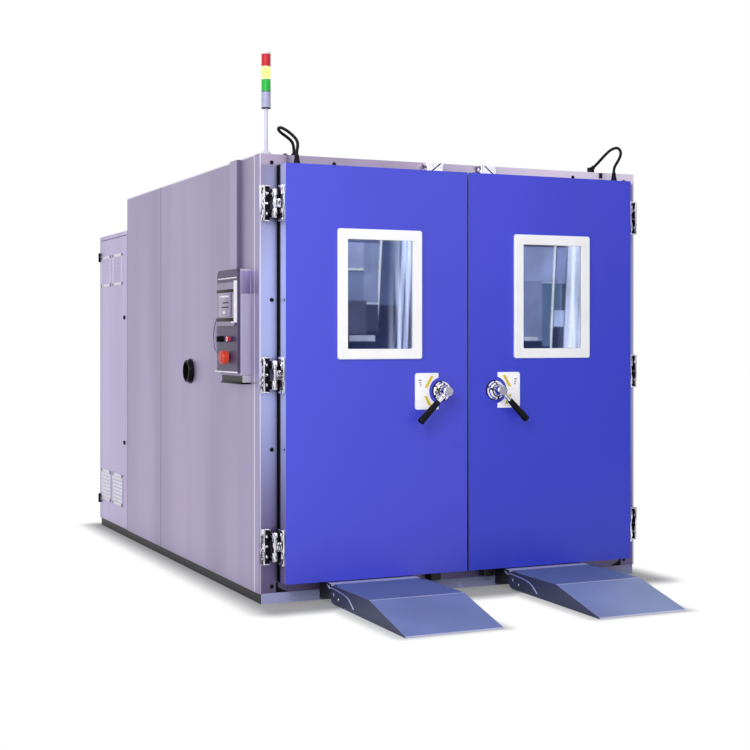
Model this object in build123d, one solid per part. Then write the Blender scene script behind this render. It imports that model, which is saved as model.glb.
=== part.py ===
"""Walk-in environmental test chamber with two swing doors, a side control box, a signal
tower, two trolley ramps and a machine compartment behind the insulated cabinet.

Frame: +Z up, +Y from the doors to the back, X to the right seen from the doors. The origin
is on the floor under the centre of the insulated cabinet. Sizes are millimetres.
"""
from build123d import *
import math
import os

# Insulated cabinet
CABINET_WIDTH = 2140.0
CABINET_DEPTH = 2450.0
CABINET_HEIGHT = 2100.0
BASE_HEIGHT = 50.0
WALL_THICKNESS = 100.0
FLOOR_THICKNESS = 85.0
FRAME_DEPTH = 60.0
WALL_SEAM_DEPTH = 1687.0
SEAM_WIDTH = 3.0

# Base frame of channel sections
BASE_INSET = 10.0
RAIL_WIDTH = 60.0
CHANNEL_WEB = 6.0

# Doors
DOOR_SIDE_MARGIN = 95.0
DOOR_TOP_MARGIN = 51.0
DOOR_BOTTOM_MARGIN = 54.0
DOOR_GAP = 10.0
DOOR_OVERLAP = 50.0
DOOR_THICKNESS = 83.5
SKIN_THICKNESS = 2.0
PLUG_DEPTH = 52.5
PLUG_CLEARANCE = 12.0
PLUG_GAP = 14.0
GASKET_THICKNESS = 22.0
GASKET_WIDTH = 30.0
GASKET_MARGIN = 8.0
SEAL_GAP = 0.5

# Door windows
WINDOW_WIDTH = 450.0
WINDOW_HEIGHT = 630.0
WINDOW_BORDER = 50.0
WINDOW_CORNER = 12.0
WINDOW_FACE = 14.0
WINDOW_CENTRE_OUT = 487.0
WINDOW_CENTRE_UP = 1378.0
WINDOW_SLEEVE = 7.0
PANE_THICKNESS = 6.0

# Lift-off hinges
HINGE_AXIS_IN = 62.0
HINGE_AXIS_OUT = 50.0
HINGE_LENGTH = 174.0
HINGE_MIDDLE = 82.0
HINGE_BARREL = 24.0
HINGE_PIN = 12.0
HINGE_PLATE = 8.0
HINGE_TOP_MARGIN = 188.0
HINGE_BOTTOM_MARGIN = 172.0

# Rack-and-pinion door lock
LOCK_FROM_CENTRE = 152.0
LOCK_UP = 903.0
LOCK_BACK = 35.0
LOCK_THICKNESS = 12.0
BOLT_STROKE = 40.0
BOLT_DIAMETER = 14.0
PINION_TEETH = 17
PRESSURE_ANGLE = 20.0
TOOTH_BACKLASH = 0.35
SPINDLE_DIAMETER = 20.0
JOURNAL_DIAMETER = 16.0
RUNNING_FIT = 0.06

# Keepers on the door frame
KEEPER_WIDTH = 96.0
KEEPER_HEIGHT = 42.0
KEEPER_DEPTH = 52.0
KEEPER_GAP = 3.0
KEEPER_CLEARANCE = 0.75

# Door handles
HANDLE_BASE_DIAMETER = 100.0
HANDLE_BASE_HEIGHT = 46.0
HANDLE_GAP = 0.5
LEVER_HUB_DIAMETER = 54.0
LEVER_HUB_HEIGHT = 40.0
LEVER_LENGTH = 211.0
LEVER_REST_ANGLE = 45.0
GRIP_START = 70.0
GRIP_DIAMETER = 36.0
LEVER_ARM_DIAMETER = 18.0
PLATE_HEIGHT = 180.0
PLATE_INNER = 15.0
PLATE_OUTER = 145.0
PLATE_THICKNESS = 4.0

# Trolley ramps
RAMP_WIDTH = 478.0
LEFT_RAMP_IN = 305.0
RIGHT_RAMP_IN = 383.0
RAMP_PLATE = 4.0
RAMP_CHEEK = 5.0
RAMP_TOP = 98.0
RAMP_PIVOT_OUT = 190.0
RAMP_PIVOT_UP = 54.0
RAMP_CREASE_OUT = 600.0
RAMP_TIP_OUT = 975.0
RAMP_TONGUE = 28.0
RAMP_LUG = 8.0
RAMP_LUG_RADIUS = 20.0
RAMP_STUD = 16.0
SHELF_THICKNESS = 8.0

# Cable port through the left wall
PORT_BORE = 100.0
PORT_OUTSIDE = 120.0
PORT_FLANGE = 136.0
PORT_STAND = 27.0
PORT_BACK = 1101.0
PORT_UP = 1039.0

# Control box and its cable cover on the left wall
BOX_FRONT = 120.0
BOX_LENGTH = 314.0
BOX_BOTTOM = 1038.0
BOX_TOP = 1555.0
BOX_DEPTH = 52.0
FASCIA_THICKNESS = 15.0
FASCIA_LIP = 12.0
FASCIA_CORNER = 30.0
SCREEN_LENGTH = 266.0
SCREEN_HEIGHT = 213.0
SCREEN_UP = 241.0
SCREEN_STAND = 6.0
SWITCH_FROM_FRONT = 222.0
LAMP_FROM_FRONT = 82.0
LAMP_STAND = 28.0
SWITCH_UP = 177.0
SWITCH_DIAMETER = 30.0
STOP_FROM_FRONT = 133.0
STOP_UP = 87.0
STOP_DIAMETER = 66.0
STOP_TRAVEL = 8.0
BUTTON_STEM = 22.0
STEM_REACH = 20.0
COVER_FRONT = 262.0
COVER_LENGTH = 113.0
COVER_DEPTH = 22.0

# Signal tower
TOWER_IN = 57.0
TOWER_BACK = 60.0
TOWER_FOOT = 56.0
TOWER_POLE = 18.0
TOWER_POLE_HEIGHT = 226.0
TOWER_DIAMETER = 45.0
TOWER_BODY_HEIGHT = 80.0
LENS_HEIGHT = 60.0

# Door cables
CABLE_DIAMETER = 15.0
DOOR_GLAND_IN = 169.0
DOOR_GLAND_OUT = 60.0
DOOR_GLAND_HEIGHT = 45.0
DOOR_GLAND_DIAMETER = 26.0
ROOF_GLAND_BACK = 45.0
LEFT_GLAND_IN = 195.0
LEFT_GLAND_HEIGHT = 16.0
LEFT_GLAND_DIAMETER = 26.0
RIGHT_GLAND_IN = 245.0
RIGHT_GLAND_SIZE = 30.0
RIGHT_ELBOW_REACH = 24.0
RIGHT_ELBOW_RISE = 40.0

# Machine compartment
MACHINE_DEPTH = 720.0
MACHINE_HEIGHT = 1900.0
COVER_SHEET = 25.0
ACCESS_THICKNESS = 22.0
ACCESS_GAP = 4.0
ACCESS_HINGE_OUT = 10.0
ACCESS_HINGE_UP = (136.0, 1762.0)
ACCESS_HINGE_LENGTH = 60.0
ACCESS_BARREL = 16.0
ACCESS_PIN = 8.0
VENT_WIDTH = 246.0
VENT_HEIGHT = 205.0
VENT_CENTRES_BACK = (236.0, 543.0)
VENT_CENTRES_UP = (237.0, 1662.0)
VENT_SLOTS = 7
LATCH_UP = (551.0, 1349.0)
LATCH_FROM_FRONT = 68.0
LATCH_DIAMETER = 26.0
LATCH_REACH = 45.0
STRIKE_THICKNESS = 3.0
STRIKE_WIDTH = 31.0

# Air handling and refrigeration
DUCT_DEPTH = 250.0
DUCT_SHEET = 3.0
FAN_DIAMETER = 360.0
FAN_UP = 1650.0
FAN_SHAFT = 24.0
FAN_BLADES = 8
MOTOR_DIAMETER = 190.0
MOTOR_LENGTH = 240.0
EVAPORATOR_WIDTH = 1200.0
EVAPORATOR_HEIGHT = 720.0
EVAPORATOR_DEPTH = 110.0
COIL_FINS = 18
COIL_END = 4.0
CONDENSER_WIDTH = 900.0
CONDENSER_HEIGHT = 800.0
CONDENSER_DEPTH = 70.0
CONDENSER_FAN_DIAMETER = 460.0
CONDENSER_FAN_UP = 1150.0
COMPRESSOR_DIAMETER = 230.0
COMPRESSOR_HEIGHT = 400.0
COMPRESSOR_SPACING = 700.0

# Places that follow from the sizes
half_width = CABINET_WIDTH / 2
front = -CABINET_DEPTH / 2
rear = CABINET_DEPTH / 2
body_bottom = BASE_HEIGHT
body_top = BASE_HEIGHT + CABINET_HEIGHT
floor_top = body_bottom + FLOOR_THICKNESS
ceiling = body_top - WALL_THICKNESS
inner_half = half_width - WALL_THICKNESS
wall_front = front + FRAME_DEPTH
machine_rear = rear + MACHINE_DEPTH
machine_top = body_bottom + MACHINE_HEIGHT

door_edge = half_width - DOOR_SIDE_MARGIN
door_free = DOOR_GAP / 2
door_bottom = body_bottom + DOOR_BOTTOM_MARGIN
door_top = body_top - DOOR_TOP_MARGIN
door_back = front - GASKET_THICKNESS - SEAL_GAP
body_front = door_back - DOOR_THICKNESS
door_front = body_front - SKIN_THICKNESS
plug_back = door_back + PLUG_DEPTH
opening_half = door_edge - DOOR_OVERLAP
opening_top = door_top - DOOR_OVERLAP
plug_edge = opening_half - PLUG_CLEARANCE
plug_free = door_free + PLUG_GAP
plug_top = opening_top - PLUG_CLEARANCE
plug_bottom = floor_top + PLUG_CLEARANCE

window_x = -WINDOW_CENTRE_OUT
window_z = door_bottom + WINDOW_CENTRE_UP
glass_width = WINDOW_WIDTH - 2 * WINDOW_BORDER
glass_height = WINDOW_HEIGHT - 2 * WINDOW_BORDER
sleeve_width = glass_width + 2 * WINDOW_SLEEVE
sleeve_height = glass_height + 2 * WINDOW_SLEEVE

hinge_x = -half_width + HINGE_AXIS_IN
hinge_y = front - HINGE_AXIS_OUT
hinge_low = door_bottom + HINGE_BOTTOM_MARGIN
hinge_high = door_top - HINGE_TOP_MARGIN
hinge_heights = (hinge_low, (hinge_low + hinge_high) / 2, hinge_high)

lock_x = -LOCK_FROM_CENTRE
lock_y = front - LOCK_BACK
lock_z = door_bottom + LOCK_UP
pitch_radius = BOLT_STROKE / (math.pi / 2)
module = 2 * pitch_radius / PINION_TEETH
handle_front = door_front - HANDLE_BASE_HEIGHT
lever_back = handle_front - HANDLE_GAP
lever_front = lever_back - LEVER_HUB_HEIGHT
lever_middle = (lever_back + lever_front) / 2

ramp_pivot_y = front - RAMP_PIVOT_OUT
ramp_centres = (-half_width + LEFT_RAMP_IN + RAMP_WIDTH / 2,
                half_width - RIGHT_RAMP_IN - RAMP_WIDTH / 2)
cheek_radius = RAMP_TOP - RAMP_PIVOT_UP

wall_x = -half_width
box_x = wall_x - BOX_DEPTH
fascia_x = box_x - FASCIA_THICKNESS
box_front = front + BOX_FRONT
box_back = box_front + BOX_LENGTH
box_bottom = body_bottom + BOX_BOTTOM
box_top = body_bottom + BOX_TOP

access_axis_x = -half_width - ACCESS_HINGE_OUT
access_axis_y = machine_rear - COVER_SHEET
access_front = rear + ACCESS_GAP
access_back = machine_rear - COVER_SHEET - ACCESS_GAP

duct_y = rear - WALL_THICKNESS - DUCT_DEPTH
fan_z = body_bottom + FAN_UP
fan_y = rear - WALL_THICKNESS - DUCT_DEPTH / 2
condenser_fan_z = body_bottom + CONDENSER_FAN_UP


def block(x0, x1, y0, y1, z0, z1):
    """A box between two corners."""
    return Pos((x0 + x1) / 2, (y0 + y1) / 2, (z0 + z1) / 2) * Box(x1 - x0, y1 - y0, z1 - z0)


def rod(start, end, diameter):
    """A round bar between two points on a line parallel to an axis."""
    start, end = Vector(*start), Vector(*end)
    along = end - start
    plane = Plane(origin=start, z_dir=along.normalized())
    return extrude(plane * Circle(diameter / 2), amount=along.length)


def tube(start, end, outside, inside):
    return rod(start, end, outside) - rod(start, end, inside)


def side_profile(points, x0, x1):
    """A closed outline of (y, z) points, extruded from x0 to x1."""
    face = make_face(Plane.YZ * Polyline(*points, close=True))
    solid = extrude(Pos(x0, 0, 0) * face, amount=x1 - x0)
    return solid


def front_plate(x, z, width, height, corner, y0, y1):
    """A plate in the plane of the doors, with rounded corners, from y0 back to y1."""
    plane = Plane(origin=(x, y1, z), x_dir=(1, 0, 0), z_dir=(0, -1, 0))
    return extrude(plane * RectangleRounded(width, height, corner), amount=y1 - y0)


def other_side(solid):
    """The same piece for the right-hand door."""
    return mirror(solid, about=Plane.YZ)


# Base frame, with the ramp shelves and pivot lugs
def channel_rail(side):
    outer = half_width - BASE_INSET
    inner = outer - RAIL_WIDTH
    rail = block(inner, outer, front, machine_rear, 0, BASE_HEIGHT)
    hollow = block(inner, outer - CHANNEL_WEB, front + RAIL_WIDTH, machine_rear - RAIL_WIDTH,
                   CHANNEL_WEB, BASE_HEIGHT - CHANNEL_WEB)
    rail -= hollow
    return rail if side > 0 else other_side(rail)


def ramp_seat(centre):
    """The fixed shelf behind one ramp, carried by two lugs with studs and a middle gusset."""
    lug_out = RAMP_WIDTH / 2 - RAMP_CHEEK - 1
    seat = block(centre - lug_out, centre + lug_out, ramp_pivot_y + RAMP_TONGUE + 14, front,
                 RAMP_TOP - SHELF_THICKNESS, RAMP_TOP)
    back = front
    shelf_under = RAMP_TOP - SHELF_THICKNESS
    gusset = [(back, 8), (back, shelf_under), (ramp_pivot_y + 62, shelf_under),
              (ramp_pivot_y + 62, shelf_under - 12)]
    seat += side_profile(gusset, centre - RAMP_LUG / 2, centre + RAMP_LUG / 2)
    for side in (-1, 1):
        x0 = centre + side * lug_out - (RAMP_LUG if side > 0 else 0)
        eye = rod((x0, ramp_pivot_y, RAMP_PIVOT_UP), (x0 + RAMP_LUG, ramp_pivot_y, RAMP_PIVOT_UP),
                  2 * RAMP_LUG_RADIUS)
        arm = [(ramp_pivot_y, RAMP_PIVOT_UP - RAMP_LUG_RADIUS), (back, 8), (back, shelf_under),
               (back - 90, shelf_under), (back - 120, RAMP_PIVOT_UP + RAMP_LUG_RADIUS),
               (ramp_pivot_y, RAMP_PIVOT_UP + RAMP_LUG_RADIUS)]
        seat += eye + side_profile(arm, x0, x0 + RAMP_LUG)
        seat += rod((centre + side * (lug_out - 1), ramp_pivot_y, RAMP_PIVOT_UP),
                    (centre + side * (RAMP_WIDTH / 2 + 6), ramp_pivot_y, RAMP_PIVOT_UP), RAMP_STUD)
    return seat


def make_base_frame():
    frame = channel_rail(-1) + channel_rail(1)
    outer = half_width - BASE_INSET
    middles = (front + RAIL_WIDTH / 2, 0, rear, machine_rear - RAIL_WIDTH / 2)
    for y in middles:
        frame += block(-outer, outer, y - RAIL_WIDTH / 2, y + RAIL_WIDTH / 2, 0, BASE_HEIGHT)
    for centre in ramp_centres:
        frame += ramp_seat(centre)
    return frame


# Insulated panels
def make_left_wall():
    wall = block(-half_width, -inner_half, wall_front, rear, body_bottom, body_top)
    seam_y = front + WALL_SEAM_DEPTH
    wall -= block(-half_width - 1, -half_width + 2, seam_y, seam_y + SEAM_WIDTH,
                  body_bottom, body_top)
    port_y, port_z = front + PORT_BACK, body_bottom + PORT_UP
    wall -= rod((-half_width - 1, port_y, port_z), (-inner_half + 1, port_y, port_z),
                PORT_OUTSIDE + 0.6)
    return wall


def make_right_wall():
    wall = block(inner_half, half_width, wall_front, rear, body_bottom, body_top)
    seam_y = front + WALL_SEAM_DEPTH
    return wall - block(half_width - 2, half_width + 1, seam_y, seam_y + SEAM_WIDTH,
                        body_bottom, body_top)


def make_rear_wall():
    wall = block(-inner_half, inner_half, rear - WALL_THICKNESS, rear, floor_top, ceiling)
    return wall - rod((0, rear - WALL_THICKNESS - 1, fan_z), (0, rear + 1, fan_z),
                      FAN_SHAFT + 2 * RUNNING_FIT)


def make_roof_panel():
    return block(-inner_half, inner_half, wall_front, rear, ceiling, body_top)


def make_floor_panel():
    return block(-inner_half, inner_half, wall_front, rear, body_bottom, floor_top)


def make_door_frame():
    """Two stiles with a head and a threshold between them, mitre-free butt joints."""
    left = block(-half_width, -opening_half, front, wall_front, body_bottom, body_top)
    left = chamfer(left.edges().filter_by(Axis.Z).group_by(Axis.Y)[0], 2)
    head = block(-opening_half, opening_half, front, wall_front, opening_top, body_top)
    sill = block(-opening_half, opening_half, front, wall_front, body_bottom, floor_top)
    return Compound([left, other_side(left), head, sill])


# Door leaves
def make_door_skin():
    """The coloured face sheet, cut for the window sleeve and the lock spindle."""
    skin = block(-door_edge, -door_free, door_front, body_front, door_bottom, door_top)
    skin = chamfer(skin.edges().group_by(Axis.Y)[0], 0.8)
    skin -= front_plate(window_x, window_z, sleeve_width + 1, sleeve_height + 1,
                        WINDOW_CORNER, door_front - 1, body_front + 1)
    return skin - rod((lock_x, door_front - 1, lock_z), (lock_x, body_front + 1, lock_z),
                      SPINDLE_DIAMETER + 8)


def make_door_body():
    """The insulated leaf with its inner plug, the lock case, the bolt bores and the gland."""
    body = block(-door_edge, -door_free, body_front, door_back, door_bottom, door_top)
    body += block(-plug_edge, -plug_free, door_back, plug_back, plug_bottom, plug_top)
    body -= front_plate(window_x, window_z, sleeve_width + 1, sleeve_height + 1,
                        WINDOW_CORNER, body_front - 1, plug_back + 1)
    case_half = pitch_radius + 16
    case_up = 2 * pitch_radius + 33 + BOLT_STROKE
    case_back = lock_y + LOCK_THICKNESS / 2 + 2
    body -= block(lock_x - case_half, lock_x + case_half, body_front - 1, case_back,
                  lock_z - case_up, lock_z + case_up)
    body -= rod((lock_x, case_back - 1, lock_z), (lock_x, case_back + 15, lock_z),
                JOURNAL_DIAMETER + 2 * RUNNING_FIT)
    body -= rod((lock_x, lock_y, door_bottom - 1), (lock_x, lock_y, door_top + 1),
                BOLT_DIAMETER + 2 * RUNNING_FIT)
    gland_x = -half_width + DOOR_GLAND_IN
    gland_y = front - DOOR_GLAND_OUT
    hexagon = extrude(Pos(gland_x, gland_y, door_top) * RegularPolygon(DOOR_GLAND_DIAMETER / 2, 6),
                      amount=DOOR_GLAND_HEIGHT * 0.35)
    dome = rod((gland_x, gland_y, door_top), (gland_x, gland_y, door_top + DOOR_GLAND_HEIGHT),
               DOOR_GLAND_DIAMETER * 0.8)
    dome = chamfer(dome.edges().group_by(Axis.Z)[-1], DOOR_GLAND_DIAMETER * 0.12)
    return body + hexagon + dome


def make_door_gasket():
    outer = block(-door_edge + GASKET_MARGIN, -door_free - 1, door_back, front - SEAL_GAP,
                  door_bottom + 5, door_top - GASKET_MARGIN)
    inner = block(-door_edge + GASKET_MARGIN + GASKET_WIDTH, -plug_free + 0.3,
                  door_back - 1, front + 1, door_bottom + 5 + GASKET_WIDTH * 0.8,
                  door_top - GASKET_MARGIN - GASKET_WIDTH)
    ring = outer - inner
    return chamfer(ring.edges().group_by(Axis.Y)[-1], 4)


def make_window_frame():
    """A rounded white surround with a sleeve that lines the hole in the leaf."""
    ring = front_plate(window_x, window_z, WINDOW_WIDTH, WINDOW_HEIGHT, WINDOW_CORNER,
                       door_front - WINDOW_FACE, door_front)
    ring = fillet(ring.edges().group_by(Axis.Y)[0], 5)
    ring += front_plate(window_x, window_z, sleeve_width, sleeve_height, WINDOW_CORNER - 1,
                        door_front - 1, plug_back)
    hole = front_plate(window_x, window_z, glass_width, glass_height, WINDOW_CORNER - 6,
                       door_front - WINDOW_FACE - 1, plug_back + 1)
    return ring - hole


def make_window_glass():
    """Three panes of one insulating unit, set inside the sleeve."""
    panes = []
    for y in (door_front - 4, (door_front + plug_back) / 2, plug_back - 4 - PANE_THICKNESS):
        panes.append(front_plate(window_x, window_z, glass_width - 0.6, glass_height - 0.6,
                                 WINDOW_CORNER - 6, y, y + PANE_THICKNESS))
    return Compound(panes)


# Hinges
def hinge_arm(x0, x1, y0, y1, z0, z1):
    """A knuckle on the hinge axis drawn out to a rectangle on its flange."""
    knuckle = Plane.XY.offset(z0) * Pos(hinge_x, hinge_y, 0) * Circle(HINGE_BARREL / 2)
    foot = Plane.XY.offset(z0) * Pos((x0 + x1) / 2, (y0 + y1) / 2, 0) * Rectangle(x1 - x0, y1 - y0)
    outline = make_hull(knuckle.edges() + foot.edges())
    return extrude(outline, amount=z1 - z0)


def make_hinge_brackets():
    """Frame halves of the six hinges, each with its two knuckles and the fixed pin."""
    brackets = []
    plate_x0, plate_x1 = -half_width + 6, -half_width + 52
    for z in hinge_heights:
        low, high = z - HINGE_LENGTH / 2, z + HINGE_LENGTH / 2
        bracket = block(plate_x0, plate_x1, front - HINGE_PLATE, front, low, high)
        bracket = fillet(bracket.edges().filter_by(Axis.Y), 6)
        for z0, z1 in ((low, z - HINGE_MIDDLE / 2), (z + HINGE_MIDDLE / 2, high)):
            bracket += hinge_arm(plate_x0 + 8, plate_x1 - 4, front - HINGE_PLATE, front - 4, z0, z1)
        bracket += rod((hinge_x, hinge_y, low), (hinge_x, hinge_y, high), HINGE_PIN)
        brackets += [bracket, other_side(bracket)]
    return Compound(brackets)


def make_hinge_leaves():
    """Door halves of three hinges: a flange on the leaf's edge and the middle knuckle."""
    leaves = []
    for z in hinge_heights:
        half = HINGE_MIDDLE / 2 - 0.3
        leaf = block(-door_edge - HINGE_PLATE, -door_edge, body_front + 6, door_back - 8,
                     z - HINGE_LENGTH / 2 + 4, z + HINGE_LENGTH / 2 - 4)
        leaf = fillet(leaf.edges().filter_by(Axis.X), 6)
        leaf += hinge_arm(-door_edge - HINGE_PLATE, -door_edge - 2, hinge_y - 20, hinge_y + 20,
                          z - half, z + half)
        leaf -= rod((hinge_x, hinge_y, z - half - 1), (hinge_x, hinge_y, z + half + 1),
                    HINGE_PIN + 2 * RUNNING_FIT)
        leaves.append(leaf)
    return Compound(leaves)


# Rack-and-pinion lock
def involute_flank(base, tip, steps):
    """Points (radius, angle) of an involute from the base circle to the tip circle."""
    reach = math.sqrt((tip / base) ** 2 - 1)
    points = []
    for i in range(steps + 1):
        t = reach * i / steps
        points.append((base * math.sqrt(1 + t * t), t - math.atan(t)))
    return points


def pinion_outline():
    base = pitch_radius * math.cos(math.radians(PRESSURE_ANGLE))
    tip = pitch_radius + module
    root = pitch_radius - 1.25 * module
    at_pitch = math.tan(math.radians(PRESSURE_ANGLE)) - math.radians(PRESSURE_ANGLE)
    half_tooth = math.pi / (2 * PINION_TEETH) - TOOTH_BACKLASH / (4 * pitch_radius)
    flank = involute_flank(base, tip, 4)
    points = []
    for tooth in range(PINION_TEETH):
        middle = 2 * math.pi * tooth / PINION_TEETH
        start = half_tooth + at_pitch
        points.append((root, middle - start))
        points += [(r, middle - start + a) for r, a in flank]
        points += [(r, middle + start - a) for r, a in reversed(flank)]
        points.append((root, middle + start))
    return [(r * math.cos(a), r * math.sin(a)) for r, a in points]


def make_spindle():
    """The lock spindle with its pinion between the two racks and a journal behind it."""
    rear_face = lock_y + LOCK_THICKNESS / 2
    plane = Plane(origin=(lock_x, rear_face, lock_z), x_dir=(1, 0, 0), z_dir=(0, -1, 0))
    pinion = extrude(plane * make_face(Polyline(*pinion_outline(), close=True)),
                     amount=LOCK_THICKNESS)
    shaft = rod((lock_x, rear_face - 1, lock_z), (lock_x, lever_front + 8, lock_z),
                SPINDLE_DIAMETER)
    journal = rod((lock_x, rear_face - 1, lock_z), (lock_x, rear_face + 14, lock_z),
                  JOURNAL_DIAMETER)
    return pinion + shaft + journal


def rack_bar(up):
    """A lock bolt and its rack; the upper one lies outboard of the pinion."""
    pitch = math.pi * module
    slope = math.tan(math.radians(PRESSURE_ANGLE))
    tooth_half = pitch / 4 - TOOTH_BACKLASH / 4
    root = pitch_radius + 1.25 * module
    back = root + 8
    low, high = -BOLT_STROKE - 18, 18
    outline = [(root, low)]
    phase = 0 if up else 0.5
    first = math.ceil(low / pitch + 0.5 - phase)
    last = math.floor(high / pitch - 0.5 - phase)
    for i in range(first, last + 1):
        middle = (i + phase) * pitch
        for step, depth in ((-1, 1.25), (-1, -1), (1, -1), (1, 1.25)):
            reach = tooth_half + slope * module * depth
            outline.append((pitch_radius + module * depth, middle + step * reach))
    top = 2 * pitch_radius + 31
    outline += [(root, top - 16), (-BOLT_DIAMETER / 2, top - 16), (-BOLT_DIAMETER / 2, top),
                (back, top), (back, low)]
    plane = Plane(origin=(lock_x, lock_y + LOCK_THICKNESS / 2, lock_z),
                  x_dir=(-1, 0, 0), z_dir=(0, 1, 0))
    bar = extrude(plane * make_face(Polyline(*outline, close=True)), amount=-LOCK_THICKNESS)
    end = door_top - 3 if up else 2 * lock_z - door_bottom - 3
    bar += rod((lock_x, lock_y, lock_z + top - 8), (lock_x, lock_y, end), BOLT_DIAMETER)
    bar = chamfer(bar.edges().group_by(Axis.Z)[-1], 2)
    if up:
        return bar
    return Pos(lock_x, 0, lock_z) * Rot(0, 180, 0) * Pos(-lock_x, 0, -lock_z) * bar


def make_keepers():
    keepers = []
    for x in (lock_x, -lock_x):
        bore = BOLT_DIAMETER + 2 * KEEPER_CLEARANCE
        top = block(x - KEEPER_WIDTH / 2, x + KEEPER_WIDTH / 2, front - KEEPER_DEPTH, front,
                    door_top + KEEPER_GAP, door_top + KEEPER_GAP + KEEPER_HEIGHT)
        top = fillet(top.edges().filter_by(Axis.Z).group_by(Axis.Y)[0], 10)
        top -= rod((x, lock_y, door_top), (x, lock_y, door_top + BOLT_STROKE), bore)
        low = block(x - 30, x + 30, front - KEEPER_DEPTH, front,
                    door_bottom - KEEPER_GAP - KEEPER_HEIGHT, door_bottom - KEEPER_GAP)
        low = fillet(low.edges().filter_by(Axis.Z).group_by(Axis.Y)[0], 10)
        low -= rod((x, lock_y, door_bottom), (x, lock_y, door_bottom - BOLT_STROKE), bore)
        keepers += [top, low]
    return Compound(keepers)


def make_handle_base():
    """A turned boss round the spindle and the notched position plate beside it."""
    radius = HANDLE_BASE_DIAMETER / 2
    profile = Polyline((0, 0), (radius, 0), (radius, 10), (radius * 0.72, 22),
                       (radius * 0.6, HANDLE_BASE_HEIGHT), (0, HANDLE_BASE_HEIGHT), close=True)
    turned = revolve(make_face(Plane.XZ * profile), axis=Axis.Z)
    boss = Plane(origin=(lock_x, door_front, lock_z), z_dir=(0, -1, 0)) * turned
    half = PLATE_HEIGHT / 2
    corner = 20
    outline = [(PLATE_INNER, half), (PLATE_OUTER - corner, half), (PLATE_OUTER, half - corner),
               (PLATE_OUTER, corner - half), (PLATE_OUTER - corner, -half), (PLATE_INNER, -half),
               (PLATE_INNER, 0.66 * -half), (radius * 1.12, 0), (PLATE_INNER, 0.66 * half)]
    plane = Plane(origin=(lock_x, door_front, lock_z), x_dir=(-1, 0, 0), z_dir=(0, 1, 0))
    plate = extrude(plane * make_face(Polyline(*outline, close=True)), amount=-PLATE_THICKNESS)
    bore = rod((lock_x, door_front + 1, lock_z), (lock_x, handle_front - 1, lock_z),
               SPINDLE_DIAMETER + 2 * RUNNING_FIT)
    return boss + plate - bore


def lever_rod(start, end, diameter, end_diameter):
    """A tapered bar along the lever at its rest angle."""
    angle = math.radians(LEVER_REST_ANGLE)
    direction = Vector(-math.sin(angle), 0, -math.cos(angle))
    centre = Vector(lock_x, lever_middle, lock_z)
    cone = Cone(diameter / 2, end_diameter / 2, end - start, align=(Align.CENTER,) * 2 + (Align.MIN,))
    return Plane(origin=centre + direction * start, z_dir=direction) * cone


def make_lever():
    hub = rod((lock_x, lever_back, lock_z), (lock_x, lever_front, lock_z), LEVER_HUB_DIAMETER)
    arm = lever_rod(LEVER_HUB_DIAMETER / 4, GRIP_START, LEVER_ARM_DIAMETER * 1.5, LEVER_ARM_DIAMETER * 1.2)
    tang = lever_rod(GRIP_START - 1, LEVER_LENGTH - 40, LEVER_ARM_DIAMETER * 0.8,
                     LEVER_ARM_DIAMETER * 0.7)
    socket = rod((lock_x, lever_back + 1, lock_z), (lock_x, lever_front + 8, lock_z),
                 SPINDLE_DIAMETER)
    lever = hub + (arm + tang) - socket
    return chamfer(lever.edges().filter_by(GeomType.CIRCLE).group_by(Axis.Y)[0], 4)


def make_grip():
    grip = lever_rod(GRIP_START, LEVER_LENGTH, GRIP_DIAMETER * 0.8, GRIP_DIAMETER)
    grip = fillet(grip.edges().group_by(Axis.Z)[0], 8)
    return grip - lever_rod(GRIP_START - 1, LEVER_LENGTH - 40, LEVER_ARM_DIAMETER * 0.8,
                            LEVER_ARM_DIAMETER * 0.7)


# Ramps
def make_ramp(centre):
    """A bent sheet deck between two cheeks that turn on the shelf's studs."""
    half = RAMP_WIDTH / 2
    tongue = ramp_pivot_y + RAMP_TONGUE
    crease, tip = front - RAMP_CREASE_OUT, front - RAMP_TIP_OUT
    under = RAMP_TOP - RAMP_PLATE
    deck = side_profile([(tongue, RAMP_TOP), (crease, RAMP_TOP), (tip, RAMP_PLATE), (tip, 0),
                         (crease, under), (tongue, under)], centre - half, centre + half)
    notch_in = RAMP_CHEEK + 1 + RAMP_LUG + 1
    for side in (-1, 1):
        outer = centre + side * half
        inner = centre + side * (half - notch_in)
        deck -= block(min(outer, inner), max(outer, inner), ramp_pivot_y - RAMP_LUG_RADIUS - 6,
                      tongue + 1, under - 1, RAMP_TOP + 1)
    outline = [(ramp_pivot_y, RAMP_TOP), (crease, RAMP_TOP), (tip, RAMP_PLATE), (tip, 0),
               (ramp_pivot_y, RAMP_PIVOT_UP - cheek_radius)]
    for side in (-1, 1):
        x0 = centre + side * half - (RAMP_CHEEK if side > 0 else 0)
        x1 = x0 + RAMP_CHEEK
        cheek = side_profile(outline, x0, x1)
        cheek += rod((x0, ramp_pivot_y, RAMP_PIVOT_UP), (x1, ramp_pivot_y, RAMP_PIVOT_UP),
                     2 * cheek_radius)
        cheek -= rod((x0 - 1, ramp_pivot_y, RAMP_PIVOT_UP), (x1 + 1, ramp_pivot_y, RAMP_PIVOT_UP),
                     RAMP_STUD + 2 * RUNNING_FIT)
        deck += cheek
    for y in (ramp_pivot_y - 120, crease + 30):
        deck += block(centre - half, centre + half, y - 2, y + 2, under - 30, under)
    return deck


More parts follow.
